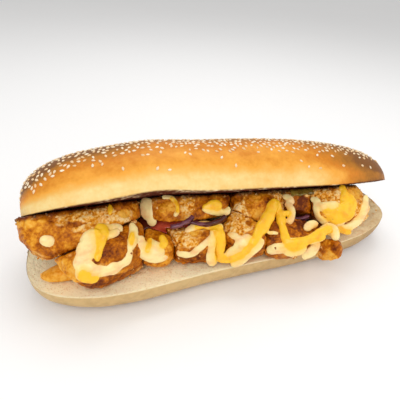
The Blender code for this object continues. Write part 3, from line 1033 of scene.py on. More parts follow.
    def relieve(self, roll: bpy.types.Object) -> None:
        """Gives the crust its faint dents and crease and the crumb its holes, which only go inwards.

        Args:
            roll: The roll.
        """
        spots, crumb, edge = places_of(roll), painted(roll, "crumb"), painted(roll, "edge")
        dents = 0.35 * waves(spots, 30 * MM, 1.0) + 0.15 * waves(spots, 9 * MM, 2.0) - 0.2
        crease = np.exp(-(((spots[:, 0] - self.crease_at) / self.crease_span) ** 2))
        crust = dents - 0.5 * crease * smoothstep(0.14, 0.02, edge) * (1 - painted(roll, "heel"))
        holes = 0.45 * (1 - knobs(spots, 4.2 * MM, 3.0)) + 0.35 * np.abs(waves(spots, 7 * MM, 5.0)) + 0.2
        swell(roll, ((1 - crumb) * crust - crumb * holes) * MM)

    def soil(self, roll: bpy.types.Object, filling: BVHTree) -> None:
        """Stores how far sauce stains the crumb, the crown crumb's sauce soak with painted shade, and how
        brown the heel's end is.

        Args:
            roll: The roll.
            filling: The surface of the filling.
        """
        spots, crumb, heel = places_of(roll), painted(roll, "crumb"), painted(roll, "heel")
        near = np.zeros(len(spots))
        for i in np.flatnonzero(crumb > 0.1):
            distance = filling.find_nearest(Vector(spots[i]), self.stain_reach)[3]
            near[i] = 0 if distance is None else 1 - distance / self.stain_reach
        stained = smoothstep(0.5, 1.0, near + 0.25 * waves(spots, 9 * MM, 4.0)) * 0.6
        browned = heel * smoothstep(0.45, 0.9, spots[:, 0] * 2 / self.length) * 0.7
        paint(roll, "stain", np.maximum(stained, browned))
        # sauce soak with painted shade on the crown's crumb: ragged, and strongest near the filling
        ragged = waves(spots, 2.5 * MM, 6.0) + 0.6 * waves(spots, 12 * MM, 9.0)
        paint(roll, "soak_and_shade", (1 - heel) * smoothstep(-0.9, -0.1, ragged + 1.2 * smoothstep(0.3, 0.9, near)))


@dataclass
class Seeds:
    """Sesame seeds baked on the crown, crowded along its top and scarce towards the front.

    Angles are degrees round the roll's section, 0 at its front edge.
    """

    size: Vector = field(default_factory=lambda: Vector((3.4, 2.1, 1.3)) * MM)
    sink: float = 0.15 * MM
    tilts: tuple[float, float] = (0.15, 0.12)
    sizes: tuple[float, float] = (0.85, 1.08)
    lowest: float = 38
    first_count: int = 60
    first_spacing: float = 10 * MM
    first_end: float = 0.975
    tries: int = 16000
    count: int = 1500
    spacing: float = 2.8 * MM
    end: float = 0.985
    fringe: float = 12
    highest: float = 165
    full_from: float = 62
    full_to: float = 120
    none_from: float = 172
    strays: float = 0.01

    def shape(self) -> bpy.types.Object:
        """Makes one seed.

        Returns:
            A sphere drawn out to a blunt point at one end.
        """
        bpy.ops.mesh.primitive_uv_sphere_add(segments=8, ring_count=5, radius=0.5)
        seed = named("seed")
        spots = places_of(seed)
        slim = 1 - 0.55 * smoothstep(-0.1, 0.5, spots[:, 0])
        set_places(seed, spots * np.stack([np.ones_like(slim), slim, slim], axis=1) * np.array(self.size))
        return seed

    def crowd(self, u: float, degrees: float) -> float:
        """How crowded the seeds are.

        Args:
            u: Where along the roll.
            degrees: The angle round its section.

        Returns:
            The share of tries that give a seed there.
        """
        low = self.lowest - self.fringe - self.fringe * float(smoothstep(-0.5, -0.9, u))
        share = smoothstep(low, self.full_from, degrees) * smoothstep(self.none_from, self.full_to, degrees)
        clump = 0.75 + 0.6 * noise.noise(Vector((u * 9, degrees / 16, 0)))
        return float(share) * clump + self.strays

    def places(self, roll: Roll) -> list[tuple[Vector, Vector, float]]:
        """Where the seeds lie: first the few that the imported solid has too, then the crowd between them.

        Args:
            roll: The roll that they lie on.

        Returns:
            The point, the normal and the turn of each seed.
        """
        draw = random.Random(11)
        found: list[tuple[Vector, Vector, float]] = []
        while len(found) < self.first_count:
            u = draw.uniform(-self.first_end, self.first_end)
            around = math.radians(draw.uniform(self.lowest, 180 - self.lowest / 2))
            point, facing = roll.surface(u, around)
            if all((point - other[0]).length > self.first_spacing for other in found):
                found.append((point, facing, draw.uniform(0, math.pi)))
        for _ in range(self.tries):
            if len(found) == self.count:
                break
            u = draw.uniform(-self.end, self.end)
            degrees = draw.uniform(self.lowest - 2 * self.fringe, self.highest)
            if draw.random() > self.crowd(u, degrees):
                continue
            point, facing = roll.surface(u, math.radians(degrees))
            if all((point - other[0]).length > self.spacing for other in found):
                found.append((point, facing, draw.uniform(0, math.tau)))
        return found

    def build(self, roll: Roll, finish: SeedFinish) -> bpy.types.Object:
        """Scatters the seeds.

        Args:
            roll: The roll that they lie on.
            finish: The seeds' finish.

        Returns:
            All seeds as one piece.
        """
        draw = random.Random(5)
        roll_tilt, pitch_tilt = self.tilts
        spots, toast = [], []
        for point, facing, turn in self.places(roll):
            stand = facing.to_track_quat("Z", "Y").to_matrix().to_4x4()
            rolled, pitched = draw.uniform(-roll_tilt, roll_tilt), draw.uniform(-pitch_tilt, pitch_tilt)
            tilt = Euler((rolled, pitched, turn)).to_matrix().to_4x4()
            size = Matrix.Scale(draw.uniform(*self.sizes), 4)
            spots.append(Matrix.Translation(point + facing * self.sink) @ stand @ tilt @ size)
            toast.append(draw.random())
        seeds = scatter("sesame_seeds", [self.shape()], spots, {"toast": toast})
        smooth(seeds)
        dress(seeds, finish.build(), "bread")
        return seeds


# The sauces


@dataclass(frozen=True)
class Pour:
    """One run of sauce, in millimetres.

    Its route is places to the right and upwards on the plane that faces the bottle, each with the width
    there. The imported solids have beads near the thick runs, but not always under them.
    """

    sauce: Sauce
    thick: bool
    route: tuple[tuple[float, float, float], ...]


CREAM, YELLOW = Sauce.CREAM, Sauce.YELLOW
POURS = (
    Pour(CREAM, True, ((-149, -26, 6), (-145, -27, 7), (-142, -28, 5))),
    Pour(CREAM, True, (
        (-102, -18, 7), (-108, -25, 11), (-111, -32, 12), (-115, -39, 10), (-119, -46, 7), (-118, -52, 7),
        (-114, -57, 8), (-108, -58, 7),
    )),
    Pour(CREAM, True, (
        (-110, -53, 10), (-101, -53, 9), (-92, -51, 8), (-84, -47, 6), (-78, -43, 5), (-77, -37, 5),
        (-76, -31, 5), (-74, -24, 6), (-74, -18, 6), (-76, -13, 4),
    )),
    Pour(CREAM, True, ((-103, -17, 7), (-95, -17, 7), (-88, -17, 6), (-85, -17, 4))),
    Pour(CREAM, False, ((-99, -24, 5), (-92, -22, 5), (-87, -19, 5))),
    Pour(CREAM, False, ((-114, -44, 6), (-109, -49, 6))),
    Pour(CREAM, True, ((-66, 5, 7), (-63, 1, 13), (-62, -4, 11), (-60, -9, 8), (-59, -13, 5))),
    Pour(CREAM, False, ((-50, 9, 3), (-44, 9, 4), (-39, 4, 3), (-38, -3, 3), (-41, -7, 2))),
    Pour(YELLOW, False, ((-44, 8, 2), (-38, 3, 2), (-38, -4, 2))),
    Pour(CREAM, True, (
        (-68, -24, 5), (-67, -31, 9), (-64, -38, 11), (-58, -41, 9), (-51, -42, 6), (-47, -39, 5),
    )),
    Pour(CREAM, False, ((-61, -26, 6), (-57, -33, 8), (-51, -36, 6))),
    Pour(CREAM, True, (
        (-38, -37, 5), (-32, -39, 5), (-26, -38, 5), (-19, -33, 5), (-14, -28, 5), (-8, -23, 5), (-5, -19, 4),
    )),
    Pour(CREAM, True, ((-31, -19, 4), (-24, -15, 5), (-17, -13, 5), (-9, -14, 5), (-2, -16, 5))),
    Pour(CREAM, False, ((-8, -19, 6), (-9, -25, 5), (-10, -33, 6), (-11, -40, 7), (-9, -45, 7))),
    Pour(CREAM, False, (
        (-10, -44, 6), (-3, -46, 6), (5, -47, 6), (13, -44, 6), (19, -40, 6), (25, -34, 6), (31, -27, 5),
    )),
    Pour(CREAM, False, ((3, -39, 7), (9, -36, 9), (15, -30, 9), (20, -24, 7))),
    Pour(CREAM, False, ((3, -21, 3), (9, -23, 5), (14, -26, 4), (19, -22, 3))),
    Pour(CREAM, False, ((36, -21, 2), (40, -20, 3), (45, -21, 2))),
    Pour(CREAM, True, ((38, -35, 7), (43, -34, 9), (49, -34, 7))),
    Pour(CREAM, False, ((52, -35, 7), (60, -36, 6), (67, -33, 5))),
    Pour(CREAM, True, ((52, 4, 5), (55, -1, 6), (56, -7, 5), (54, -12, 4))),
    Pour(CREAM, False, ((49, 10, 4), (54, 8, 6), (57, 4, 5))),
    Pour(CREAM, False, ((67, -17, 5), (71, -14, 7), (76, -13, 5))),
    Pour(CREAM, False, ((80, -18, 6), (86, -17, 8), (91, -20, 8), (92, -25, 5))),
    Pour(CREAM, False, ((77, -28, 6), (73, -35, 7), (66, -40, 6))),
    Pour(CREAM, True, ((78, 1, 7), (85, 1, 8), (92, 2, 8), (96, -1, 6))),
    Pour(CREAM, False, ((72, 8, 4), (77, 5, 6), (76, -3, 5), (79, -9, 6), (84, -12, 5))),
    Pour(CREAM, True, (
        (117, 10, 4), (117, 4, 6), (115, -4, 7), (110, -11, 7), (103, -16, 6), (96, -16, 5), (91, -14, 4),
    )),
    Pour(YELLOW, False, (
        (-102, -16, 6), (-100, -20, 8), (-100, -25, 6), (-101, -31, 4), (-103, -38, 4), (-104, -43, 3),
    )),
    Pour(YELLOW, False, ((-117, -52, 4), (-114, -57, 6), (-109, -59, 6), (-104, -58, 4))),
    Pour(YELLOW, False, ((-94, 3, 2), (-93, -1, 3), (-94, -6, 2))),
    Pour(YELLOW, False, ((-75, -20, 2), (-76, -26, 3), (-76, -31, 2))),
    Pour(YELLOW, True, ((-52, -24, 5), (-48, -27, 6), (-51, -32, 5))),
    Pour(YELLOW, False, ((-61, -25, 3), (-61, -31, 3), (-63, -36, 3))),
    Pour(YELLOW, True, ((-17, 1, 3), (-12, 2, 6), (-7, 3, 9), (-3, 1, 6))),
    Pour(CREAM, False, ((-18, -1, 2), (-10, -3, 4), (-3, -4, 5), (3, -3, 5), (4, 1, 3))),
    Pour(YELLOW, True, (
        (-23, -16, 4), (-16, -14, 5), (-9, -16, 6), (-4, -19, 7), (-3, -26, 8), (-3, -32, 8), (-4, -38, 8),
        (-3, -42, 7), (2, -43, 5), (8, -41, 5), (15, -38, 5), (20, -33, 5), (25, -27, 6), (29, -20, 7),
        (33, -14, 9), (37, -7, 9), (40, 0, 9), (42, 6, 7),
    )),
    Pour(YELLOW, True, (
        (42, 6, 6), (45, -1, 8), (47, -8, 9), (48, -14, 6), (50, -20, 6), (51, -26, 7), (54, -30, 10),
        (60, -30, 9), (66, -28, 7), (72, -25, 6), (79, -22, 8), (84, -19, 9), (88, -18, 6),
    )),
    Pour(YELLOW, False, ((46, -4, 5), (51, -5, 5), (55, -3, 3))),
    Pour(YELLOW, False, ((80, -20, 4), (85, -17, 5), (88, -18, 3))),
    Pour(CREAM, False, ((70, -28, 4), (76, -26, 5), (82, -23, 5))),
    Pour(YELLOW, False, ((104, -20, 4), (98, -19, 5), (94, -16, 4))),
    Pour(YELLOW, True, (
        (97, 18, 5), (100, 12, 8), (102, 6, 12), (102, 0, 15), (99, -5, 15), (94, -7, 14), (88, -6, 12),
        (84, -4, 8),
    )),
)


EIGHTHS = [turn * math.tau / 8 for turn in range(8)]
RING = tuple((math.cos(angle), math.sin(angle)) for angle in EIGHTHS)


@dataclass(frozen=True)
class Stamp:
    """A flat drop of sauce: its middle, the way that it faces, its half width and half thickness."""

    sauce: Sauce
    middle: Vector
    facing: Vector
    radius: float
    height: float


@dataclass
class Drizzle:
    """The sauces, as runs of flat drops that melt into one skin."""

    aim: Vector = field(default_factory=lambda: Vector((0, 0, 40)) * MM)
    away: float = 302 * MM
    side: float = math.radians(-19.7)
    rise: float = math.radians(34.6)
    lean: float = math.radians(4.3)
    step: float = 0.9 * MM
    reach: float = 4 * MM  # how far to its sides a drop leans on the ground
    bead_share: float = 0.38  # how deep the drops of a thick run are sunk, as a share of its half width
    bead_most: float = 4.5 * MM  # and the half width that counts for that at most
    film: float = 0.8 * MM  # the half thickness of a thin run
    film_width: float = 3 * MM  # whose half width is this
    film_most: float = 1.3  # and how much thicker a wide run gets
    proud: float = 0.42 * MM  # added to each drop's radius and height, so that a sunk one still shows
    voxel: float = 0.6 * MM
    gap: float = 7 * MM  # drops further apart than this aren't evened out together
    slope: float = 0.5  # how steeply the sauce sinks into a crevice that it bridges
    sag: float = 34 * MM  # and how deep that crevice is at most
    slim: float = 0.95  # a drop's width, as a share of its run's
    uneven: float = 0.4  # and how much it varies along the run
    uneven_span: float = 5.5 * MM
    evened: int = 3  # how many drops to each side a drop is evened out with
    ripple_sizes: tuple[float, float] = (4.5 * MM, 2 * MM)
    stamps: list[Stamp] = field(default_factory=list)
    bottle: Vector = field(init=False)
    right: Vector = field(init=False)
    up: Vector = field(init=False)
    back: Vector = field(init=False)

    def __post_init__(self) -> None:
        """Sets up the bottle and the plane that faces it."""
        turn = Euler((math.pi / 2 - self.rise, 0, self.side)).to_matrix() @ Matrix.Rotation(self.lean, 3, "Z")
        self.right, self.up, self.back = (turn.col[i].copy() for i in range(3))
        self.bottle = self.aim + self.back * self.away

    def seen(self, points: np.ndarray) -> tuple[np.ndarray, np.ndarray]:
        """Where points lie on the plane that faces the bottle.

        Args:
            points: The points.

        Returns:
            How far to the right and how far up they lie, in metres.
        """
        spots = points - np.array(self.bottle)
        scale = -self.away / (spots @ np.array(self.back))
        return spots @ np.array(self.right) * scale, spots @ np.array(self.up) * scale

    def cast(self, filling: BVHTree, right: float, up: float) -> tuple[Vector, Vector | None, float]:
        """Finds where sauce lands that is squeezed at a place on the plane.

        Args:
            filling: The surface that it lands on.
            right: How far to the right the place is.
            up: How far up it is.

        Returns:
            The direction of the jet, the normal where it lands, if it does, and the distance.
        """
        jet = (self.aim + self.right * right + self.up * up - self.bottle).normalized()
        _, facing, _, distance = filling.ray_cast(self.bottle, jet)
        return jet, facing, distance or 0.0

    def route(self, pour: Pour) -> list[Vector]:
        """Draws a smooth curve through the places of a run.

        Args:
            pour: The run.

        Returns:
            Even places along it, as (right, up, width) in metres.
        """
        spots = [Vector(p) * MM for p in pour.route]
        ends = [2 * spots[0] - spots[1]] + spots + [2 * spots[-1] - spots[-2]]
        places = []
        for a, b, c, d in zip(ends, ends[1:], ends[2:], ends[3:]):
            count = max(1, round((c - b).length / self.step))
            for i in range(count):
                t = i / count
                bent = (2 * a - 5 * b + 4 * c - d) * t**2 + (3 * b - a - 3 * c + d) * t**3
                places.append(b + 0.5 * ((c - a) * t + bent))
        return places + [spots[-1]]

    def land(self, filling: BVHTree, pour: Pour) -> list[tuple[Vector, Vector, float]]:
        """Lets one run fall on the filling, where it leans on what is around it and bridges the gaps.

        Args:
            filling: The surface that it falls on.
            pour: The run.

        Returns:
            Points, normals and half widths along it.
        """
        hits = []
        for right, up, width in self.route(pour):
            jet, facing, distance = self.cast(filling, right, up)
            ring = [self.cast(filling, right + dx * self.reach, up + dy * self.reach) for dx, dy in RING]
            ring = [cast for cast in ring if cast[1]]
            if not ring:
                continue
            held = min(cast[2] for cast in ring) + self.slope * self.reach
            around = sum((cast[1] for cast in ring), facing * 2 if facing else Vector()).normalized()
            if facing is None or held < distance < held + self.sag:
                distance = held
                around = (around + 2 * self.back).normalized()
            hits.append((jet, around, distance, width / 2))
        landed = []
        for i, (jet, facing, distance, half) in enumerate(hits):
            held = min(other[2] + self.slope * self.step * abs(i - j) for j, other in enumerate(hits))
            held = held if distance - held < self.sag else distance
            landed.append((self.bottle + jet * held, facing, half))
        return landed

    def lay(self, filling: BVHTree) -> None:
        """Pours every run and turns it into drops.

        Args:
            filling: The surface that the sauces fall on.
        """
        for number, pour in enumerate(POURS):
            landed = self.land(filling, pour)
            for i, (point, _, half) in enumerate(landed):
                near = landed[max(0, i - self.evened) : i + self.evened + 1]
                near = [other for other in near if (other[0] - point).length < self.gap]
                middle = sum((other[0] for other in near), Vector()) / len(near)
                facing = sum((other[1] for other in near), Vector()).normalized()
                place = Vector((number * 7.3, i * self.step / self.uneven_span, 0.5))
                wide = half * self.slim * (1 + self.uneven * noise.noise(place)) + self.proud
                bead = min(half, self.bead_most) * self.bead_share if pour.thick else 0.0
                film = self.film * min(self.film_most, half / self.film_width)
                thick = max(bead, film) + self.proud
                self.stamps.append(Stamp(pour.sauce, middle - facing * bead, facing, wide, thick))

    def drop_tree(self, sauce: Sauce | None) -> tuple[KDTree, list[Stamp]]:
        """Sorts drops for searching.

        Args:
            sauce: Whose drops they are, or None for both sauces.

        Returns:
            A search tree over their middles, and the drops in its order.
        """
        chosen = [s for s in self.stamps if sauce in (None, s.sauce)]
        tree = KDTree(len(chosen))
        for i, stamp in enumerate(chosen):
            tree.insert(stamp.middle, i)
        tree.balance()
        return tree, chosen

    def nearness(self, points: np.ndarray, sauce: Sauce | None) -> np.ndarray:
        """How near points are to the drops, seen along the drops' normals.

        Args:
            points: The points.
            sauce: Whose drops they are, or None for both sauces.

        Returns:
            One value for each point: 0 over the middle of a drop, 1 over its rim, and 9 at most.
        """
        far = 9.0
        tree, chosen = self.drop_tree(sauce)
        found = []
        for point in points:
            here, best = Vector(point), far
            for _, i, _ in tree.find_n(here, 4):
                away = here - chosen[i].middle
                flat = away - chosen[i].facing * away.dot(chosen[i].facing)
                best = min(best, flat.length / chosen[i].radius)
            found.append(best)
        return np.array(found)

    def build(self, finish: SauceFinish) -> bpy.types.Object:
        """Melts the drops into one skin.

        Args:
            finish: The sauces' finish.

        Returns:
            The sauces.
        """
        bpy.ops.mesh.primitive_ico_sphere_add(subdivisions=2, radius=1)
        drop = named("drop")
        spots = []
        for stamp in self.stamps:
            turn = stamp.facing.to_track_quat("Z", "Y").to_matrix().to_4x4()
            size = Matrix.Diagonal((stamp.radius, stamp.radius, stamp.height, 1))
            spots.append(Matrix.Translation(stamp.middle) @ turn @ size)
        sauces = scatter("drizzled_sauces", [drop], spots, {})
        remesh(sauces, self.voxel, 5)
        points = places_of(sauces)
        broad, narrow = self.ripple_sizes
        swell(sauces, (0.1 + 0.35 * waves(points, broad, 3.0) + 0.15 * waves(points, narrow, 5.0)) * MM)
        away = self.nearness(points, Sauce.YELLOW) + 0.12 * waves(points, 3.5 * MM, 8.0)
        paint(sauces, "yellow", smoothstep(1.15, 0.82, away))
        paint(sauces, "tint", smoothstep(2.6, 1.0, away) * 0.5)
        smooth(sauces)
        dress(sauces, finish.build(), "fried_coating")
        return sauces


# The filling


class Look(Enum):
    """How the breading looks in a patch: how crumbly it is, and its tone, which rises from dark to golden."""

    CRUMBS = (1.0, 0.2)
    GOLDEN = (0.1, 1.25)
    ORANGE = (-0.8, 0.55)
    BROWN = (-1.0, 0.0)
    DARK = (-1.0, -0.4)


@dataclass(frozen=True)
class Patch:
    """A place that looks different, in millimetres on the plane that faces the bottle."""

    look: Look
    right: float
    up: float
    wide: float
    high: float

    def share(self, right: np.ndarray, up: np.ndarray, wander: np.ndarray) -> np.ndarray:
        """How much of the patch there is at places on the plane, with an outline that wanders."""
        away = np.hypot((right / MM - self.right) / self.wide, (up / MM - self.up) / self.high)
        return smoothstep(1.25, 0.75, away + 0.35 * wander)


PATCHES = (
    Patch(Look.ORANGE, -157, -20, 16, 12),
    Patch(Look.GOLDEN, -163, -13, 9, 4),
    Patch(Look.ORANGE, -125, -24, 24, 9),
    Patch(Look.CRUMBS, -112, -17, 12, 4),
    Patch(Look.CRUMBS, -98, -7, 29, 7),
    Patch(Look.GOLDEN, -82, -5, 5, 4),
    Patch(Look.BROWN, -90, -33, 13, 11),
    Patch(Look.BROWN, -92, -63, 26, 8),
    Patch(Look.GOLDEN, -135, -53, 18, 10),
    Patch(Look.ORANGE, -47, 0, 7, 6),
    Patch(Look.CRUMBS, -30, 4, 7, 7),
    Patch(Look.GOLDEN, -40, 2, 4, 7),
    Patch(Look.BROWN, -14, 3, 6, 8),
    Patch(Look.CRUMBS, 15, -3, 9, 10),
    Patch(Look.ORANGE, 30, 4, 13, 9),
    Patch(Look.BROWN, 34, 5, 6, 5),
    Patch(Look.BROWN, 6, 8, 8, 6),
    Patch(Look.GOLDEN, 28, -8, 6, 7),
    Patch(Look.CRUMBS, 10, -17, 12, 5),
    Patch(Look.CRUMBS, -34, -24, 7, 7),
    Patch(Look.GOLDEN, -24, -19, 6, 4),
    Patch(Look.BROWN, -14, -24, 5, 5),
    Patch(Look.BROWN, -24, -41, 16, 8),
    Patch(Look.BROWN, 10, -31, 8, 6),
    Patch(Look.CRUMBS, 52, 10, 6, 5),
    Patch(Look.DARK, 64, -5, 13, 14),
    Patch(Look.CRUMBS, 79, 11, 11, 5),
    Patch(Look.GOLDEN, 108, 15, 8, 9),
    Patch(Look.CRUMBS, 110, -8, 10, 12),
    Patch(Look.CRUMBS, 80, -3, 6, 8),
    Patch(Look.BROWN, 82, -15, 5, 6),
    Patch(Look.CRUMBS, 66, -39, 14, 5),
    Patch(Look.GOLDEN, 88, -40, 6, 6),
    Patch(Look.BROWN, 94, -34, 5, 7),
)
# patches of painted shade on the vegetables
SHADE_PATCHES = (
    Patch(Look.DARK, -66, -11, 9, 7),
    Patch(Look.DARK, 2, -9, 20, 8),
    Patch(Look.DARK, 60, -15, 7, 6),
)


@dataclass
class Fried:
    """One piece of fried chicken, with the crags and crumbs of its breading."""

    node: str
    coat: Coat
    voxel: float = 0.85 * MM
    flake_size: float = 5.5 * MM
    fold_size: float = 8 * MM
    crumb_size: float = 2.6 * MM
    grit_size: float = 2.2 * MM
    patch_sizes: tuple[float, float] = (14 * MM, 6 * MM)
    wander_size: float = 5 * MM
    soak_and_shade_from: float = -4.5 * MM  # heights over the crown's cut face, over which the painted shade under the crown rises
    soak_and_shade_to: float = -0.5 * MM
    soak_and_shade_ragged: float = 1.5 * MM

    def breading(
        self, seen: tuple[np.ndarray, np.ndarray], patch: np.ndarray, wander: np.ndarray
    ) -> tuple[np.ndarray, np.ndarray]:
        """Works out the look of the breading.

        Args:
            seen: Where its points lie on the plane that faces the bottle.
            patch: Noise that makes crumbly places.
            wander: Noise that makes the outlines of patches wander.

        Returns:
            How crumbly the breading is at each point, and its tone.
        """
        crumbly_share, _, tone = self.coat.value
        crumbly = patch + crumbly_share * 1.5 - 0.35
        tones = np.full(len(patch), tone)
        for place in PATCHES:
            share = place.share(*seen, wander)
            more, brighter = place.look.value
            crumbly = crumbly * (1 - share) + (more + 0.3 * patch) * share
            tones = tones * (1 - share) + brighter * share
        return smoothstep(0.25, 0.7, crumbly), tones

    def build(
        self, frame: dict, drizzle: Drizzle, roll: Roll, material: bpy.types.Material
    ) -> bpy.types.Object:
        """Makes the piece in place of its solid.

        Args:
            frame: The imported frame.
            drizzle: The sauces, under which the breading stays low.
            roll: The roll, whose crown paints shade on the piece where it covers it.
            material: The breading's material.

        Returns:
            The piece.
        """
        _, depth, _ = self.coat.value
        piece = fine_copy(frame, self.node, self.voxel)
        spots = places_of(piece)
        shift = (sum(ord(letter) for letter in self.node) % 97) / 7
        broad, narrow = self.patch_sizes
        patch = waves(spots, broad, shift) + 0.5 * waves(spots, narrow, shift)
        wander = waves(spots, self.wander_size, shift + 1)
        crumbly, tones = self.breading(drizzle.seen(spots), patch, wander)
        flakes = knobs(spots, self.flake_size, shift)
        crumbs = knobs(spots, self.crumb_size, shift + 3)
        grit = waves(spots, self.grit_size, shift + 5)
        folds = np.abs(waves(spots, self.fold_size, shift + 7))
        relief = 0.85 * flakes + 0.9 * folds + 0.25 * grit + crumbly * (0.75 * crumbs + 0.3 * grit) - 0.85
        free = drizzle.nearness(spots, None)
        kept = np.where(relief > 0, smoothstep(0.95, 1.3, free), smoothstep(0.6, 1.2, free))
        swell(piece, relief * kept * depth * MM)
        sunk = roll.over_cut(spots) + self.soak_and_shade_ragged * grit
        # painted shade: low in the creases, high on the ridges
        paint(piece, "crag_shade", np.clip(0.5 * flakes + 0.6 * folds + 0.3 * crumbs + 0.2 * grit, 0, 1))
        paint(piece, "crumbly", crumbly)
        paint(piece, "tone", tones)
        paint(piece, "free", smoothstep(1.0, 1.3, free))
        # painted shade where the crown covers the piece, also standing for sauce soak
        paint(piece, "soak_and_shade", smoothstep(self.soak_and_shade_from, self.soak_and_shade_to, sunk) * SOAK_AND_SHADE_MOST)
        smooth(piece)
        dress(piece, material, "fried_coating", self.node)
        return piece


@dataclass
class Crumbs:
    """Loose crumbs of breading: on the crumbly places, along the seam under the crown, and on the heel."""

    count: int = 1300
    least: float = 0.7 * MM
    most: float = 2.2 * MM
    shape_count: int = 5
    proportions: tuple[float, float, float] = (1.25, 0.9, 0.7)
    stand: float = 0.2  # how far a crumb stands off its ground, as a share of its size
    anywhere: float = 0.02  # how many lie on smooth breading, and the same for the heel and the seam
    fallen: float = 0.5
    seam: float = 7.0
    # seam crumbs take the painted shade under the crown, made this much stronger and capped
    soak_and_shade_gain: float = 1.6
    soak_and_shade_most: float = 0.9
    looks: tuple[tuple[str, float, float], ...] = (
        # each loose crumb takes a random level of the painted crag shade
        ("crag_shade", 0.3, 1.0),
        ("crumbly", 0.5, 1.0),
        ("tone", 0.0, 0.6),
    )

    def shapes(self) -> list[bpy.types.Object]:
        """Makes a few ragged crumbs.

        Returns:
            The crumbs, of unit size.
        """
        made = []
        for number in range(self.shape_count):
            bpy.ops.mesh.primitive_ico_sphere_add(subdivisions=1, radius=0.5)
            crumb = named(f"crumb_{number}")
            spots = places_of(crumb)
            ragged = 1 + 0.75 * waves(spots, 0.4, number * 3.1)
            set_places(crumb, spots * ragged[:, None] * np.array(self.proportions))
            made.append(crumb)
        return made

    def build(
        self, pieces: list[bpy.types.Object], roll: bpy.types.Object, material: bpy.types.Material
    ) -> bpy.types.Object:
        """Scatters the crumbs.

        Args:
            pieces: The fried pieces.
            roll: The roll, on whose heel some crumbs have fallen.
            material: The breading's material.

        Returns:
            All crumbs as one piece.
        """
        draw = random.Random(23)
        weights = []
        for piece in pieces:
            soak_and_shade = painted(piece, "soak_and_shade")
            # crumbs gather where the painted shade under the crown fades out, along the seam
            at_seam = self.seam * soak_and_shade * (SOAK_AND_SHADE_MOST - soak_and_shade)
            weights.append(painted(piece, "crumbly") * painted(piece, "free") + self.anywhere + at_seam)
        on_heel = painted(roll, "heel") * (painted(roll, "crumb") > CUT_RIM)
        weights.append(on_heel * painted(roll, "stain") * self.fallen)
        spots = np.concatenate([places_of(thing) for thing in (*pieces, roll)])
        facing = np.concatenate([facing_of(thing) for thing in (*pieces, roll)])
        soak_and_shade = np.concatenate([painted(piece, "soak_and_shade") for piece in pieces] + [np.zeros(len(on_heel))])
        reached = np.cumsum(np.concatenate(weights))
        picks = np.searchsorted(reached, [draw.uniform(0, reached[-1]) for _ in range(self.count)])
        marks: dict[str, list[float]] = {mark: [] for mark in ("crag_shade", "crumbly", "tone", "soak_and_shade")}
        places = []
        for i in picks:
            size = self.least + (self.most - self.least) * draw.random() ** 2
            turn = Euler([draw.uniform(0, math.tau) for _ in range(3)]).to_matrix().to_4x4()
            middle = Matrix.Translation(Vector(spots[i] + facing[i] * size * self.stand))
            places.append(middle @ turn @ Matrix.Scale(size, 4))
            for mark, low, high in self.looks:
                marks[mark].append(draw.uniform(low, high))
            # a seam crumb takes the painted shade under the crown
            marks["soak_and_shade"].append(min(self.soak_and_shade_most, self.soak_and_shade_gain * soak_and_shade[i]))
        crumbs = scatter("breading_crumbs", self.shapes(), places, marks)
        dress(crumbs, material, "fried_coating")
        return crumbs


@dataclass
class Vegetable:
    """A slice of vegetable with a coloured rim on the outside of its round.

    Its centre is in millimetres, and its turn in degrees.
    """

    node: str
    slot: str
    centre: tuple[float, float, float]
    turn: tuple[float, float, float]
    radius: float
    rim: float
    voxel: float = 0.6 * MM
    dent: float = 0.45 * MM
    dent_size: float = 4 * MM

    def build(self, frame: dict, drizzle: Drizzle, material: bpy.types.Material) -> bpy.types.Object:
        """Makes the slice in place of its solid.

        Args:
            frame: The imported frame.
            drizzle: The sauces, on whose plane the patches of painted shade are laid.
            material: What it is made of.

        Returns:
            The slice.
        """
        slice_ = fine_copy(frame, self.node, self.voxel)
        spots = places_of(slice_)
        turned = Euler([math.radians(a) for a in self.turn]).to_matrix()
        local = (spots - np.array(self.centre) * MM) @ np.array(turned)
        out = np.hypot(local[:, 0], local[:, 1])
        paint(slice_, "rim", smoothstep(self.radius - self.rim, self.radius - 0.3 * self.rim, out))
        right, up = drizzle.seen(spots)
        wander = waves(spots, 3 * MM, 1.0)
        # patches of painted shade
        paint(slice_, "soak_and_shade", np.max([place.share(right, up, wander) for place in SHADE_PATCHES], axis=0) * 0.9)
        swell(slice_, self.dent * waves(spots, self.dent_size, 2.0))
        smooth(slice_)
        dress(slice_, material, self.slot, self.node)
        return slice_


# The studio


@dataclass(frozen=True)
class Lamp:
    """A square soft light that faces the sandwich: its place and side in metres, and its power in watts."""

    name: str
    spot: tuple[float, float, float]
    size: float
    power: float


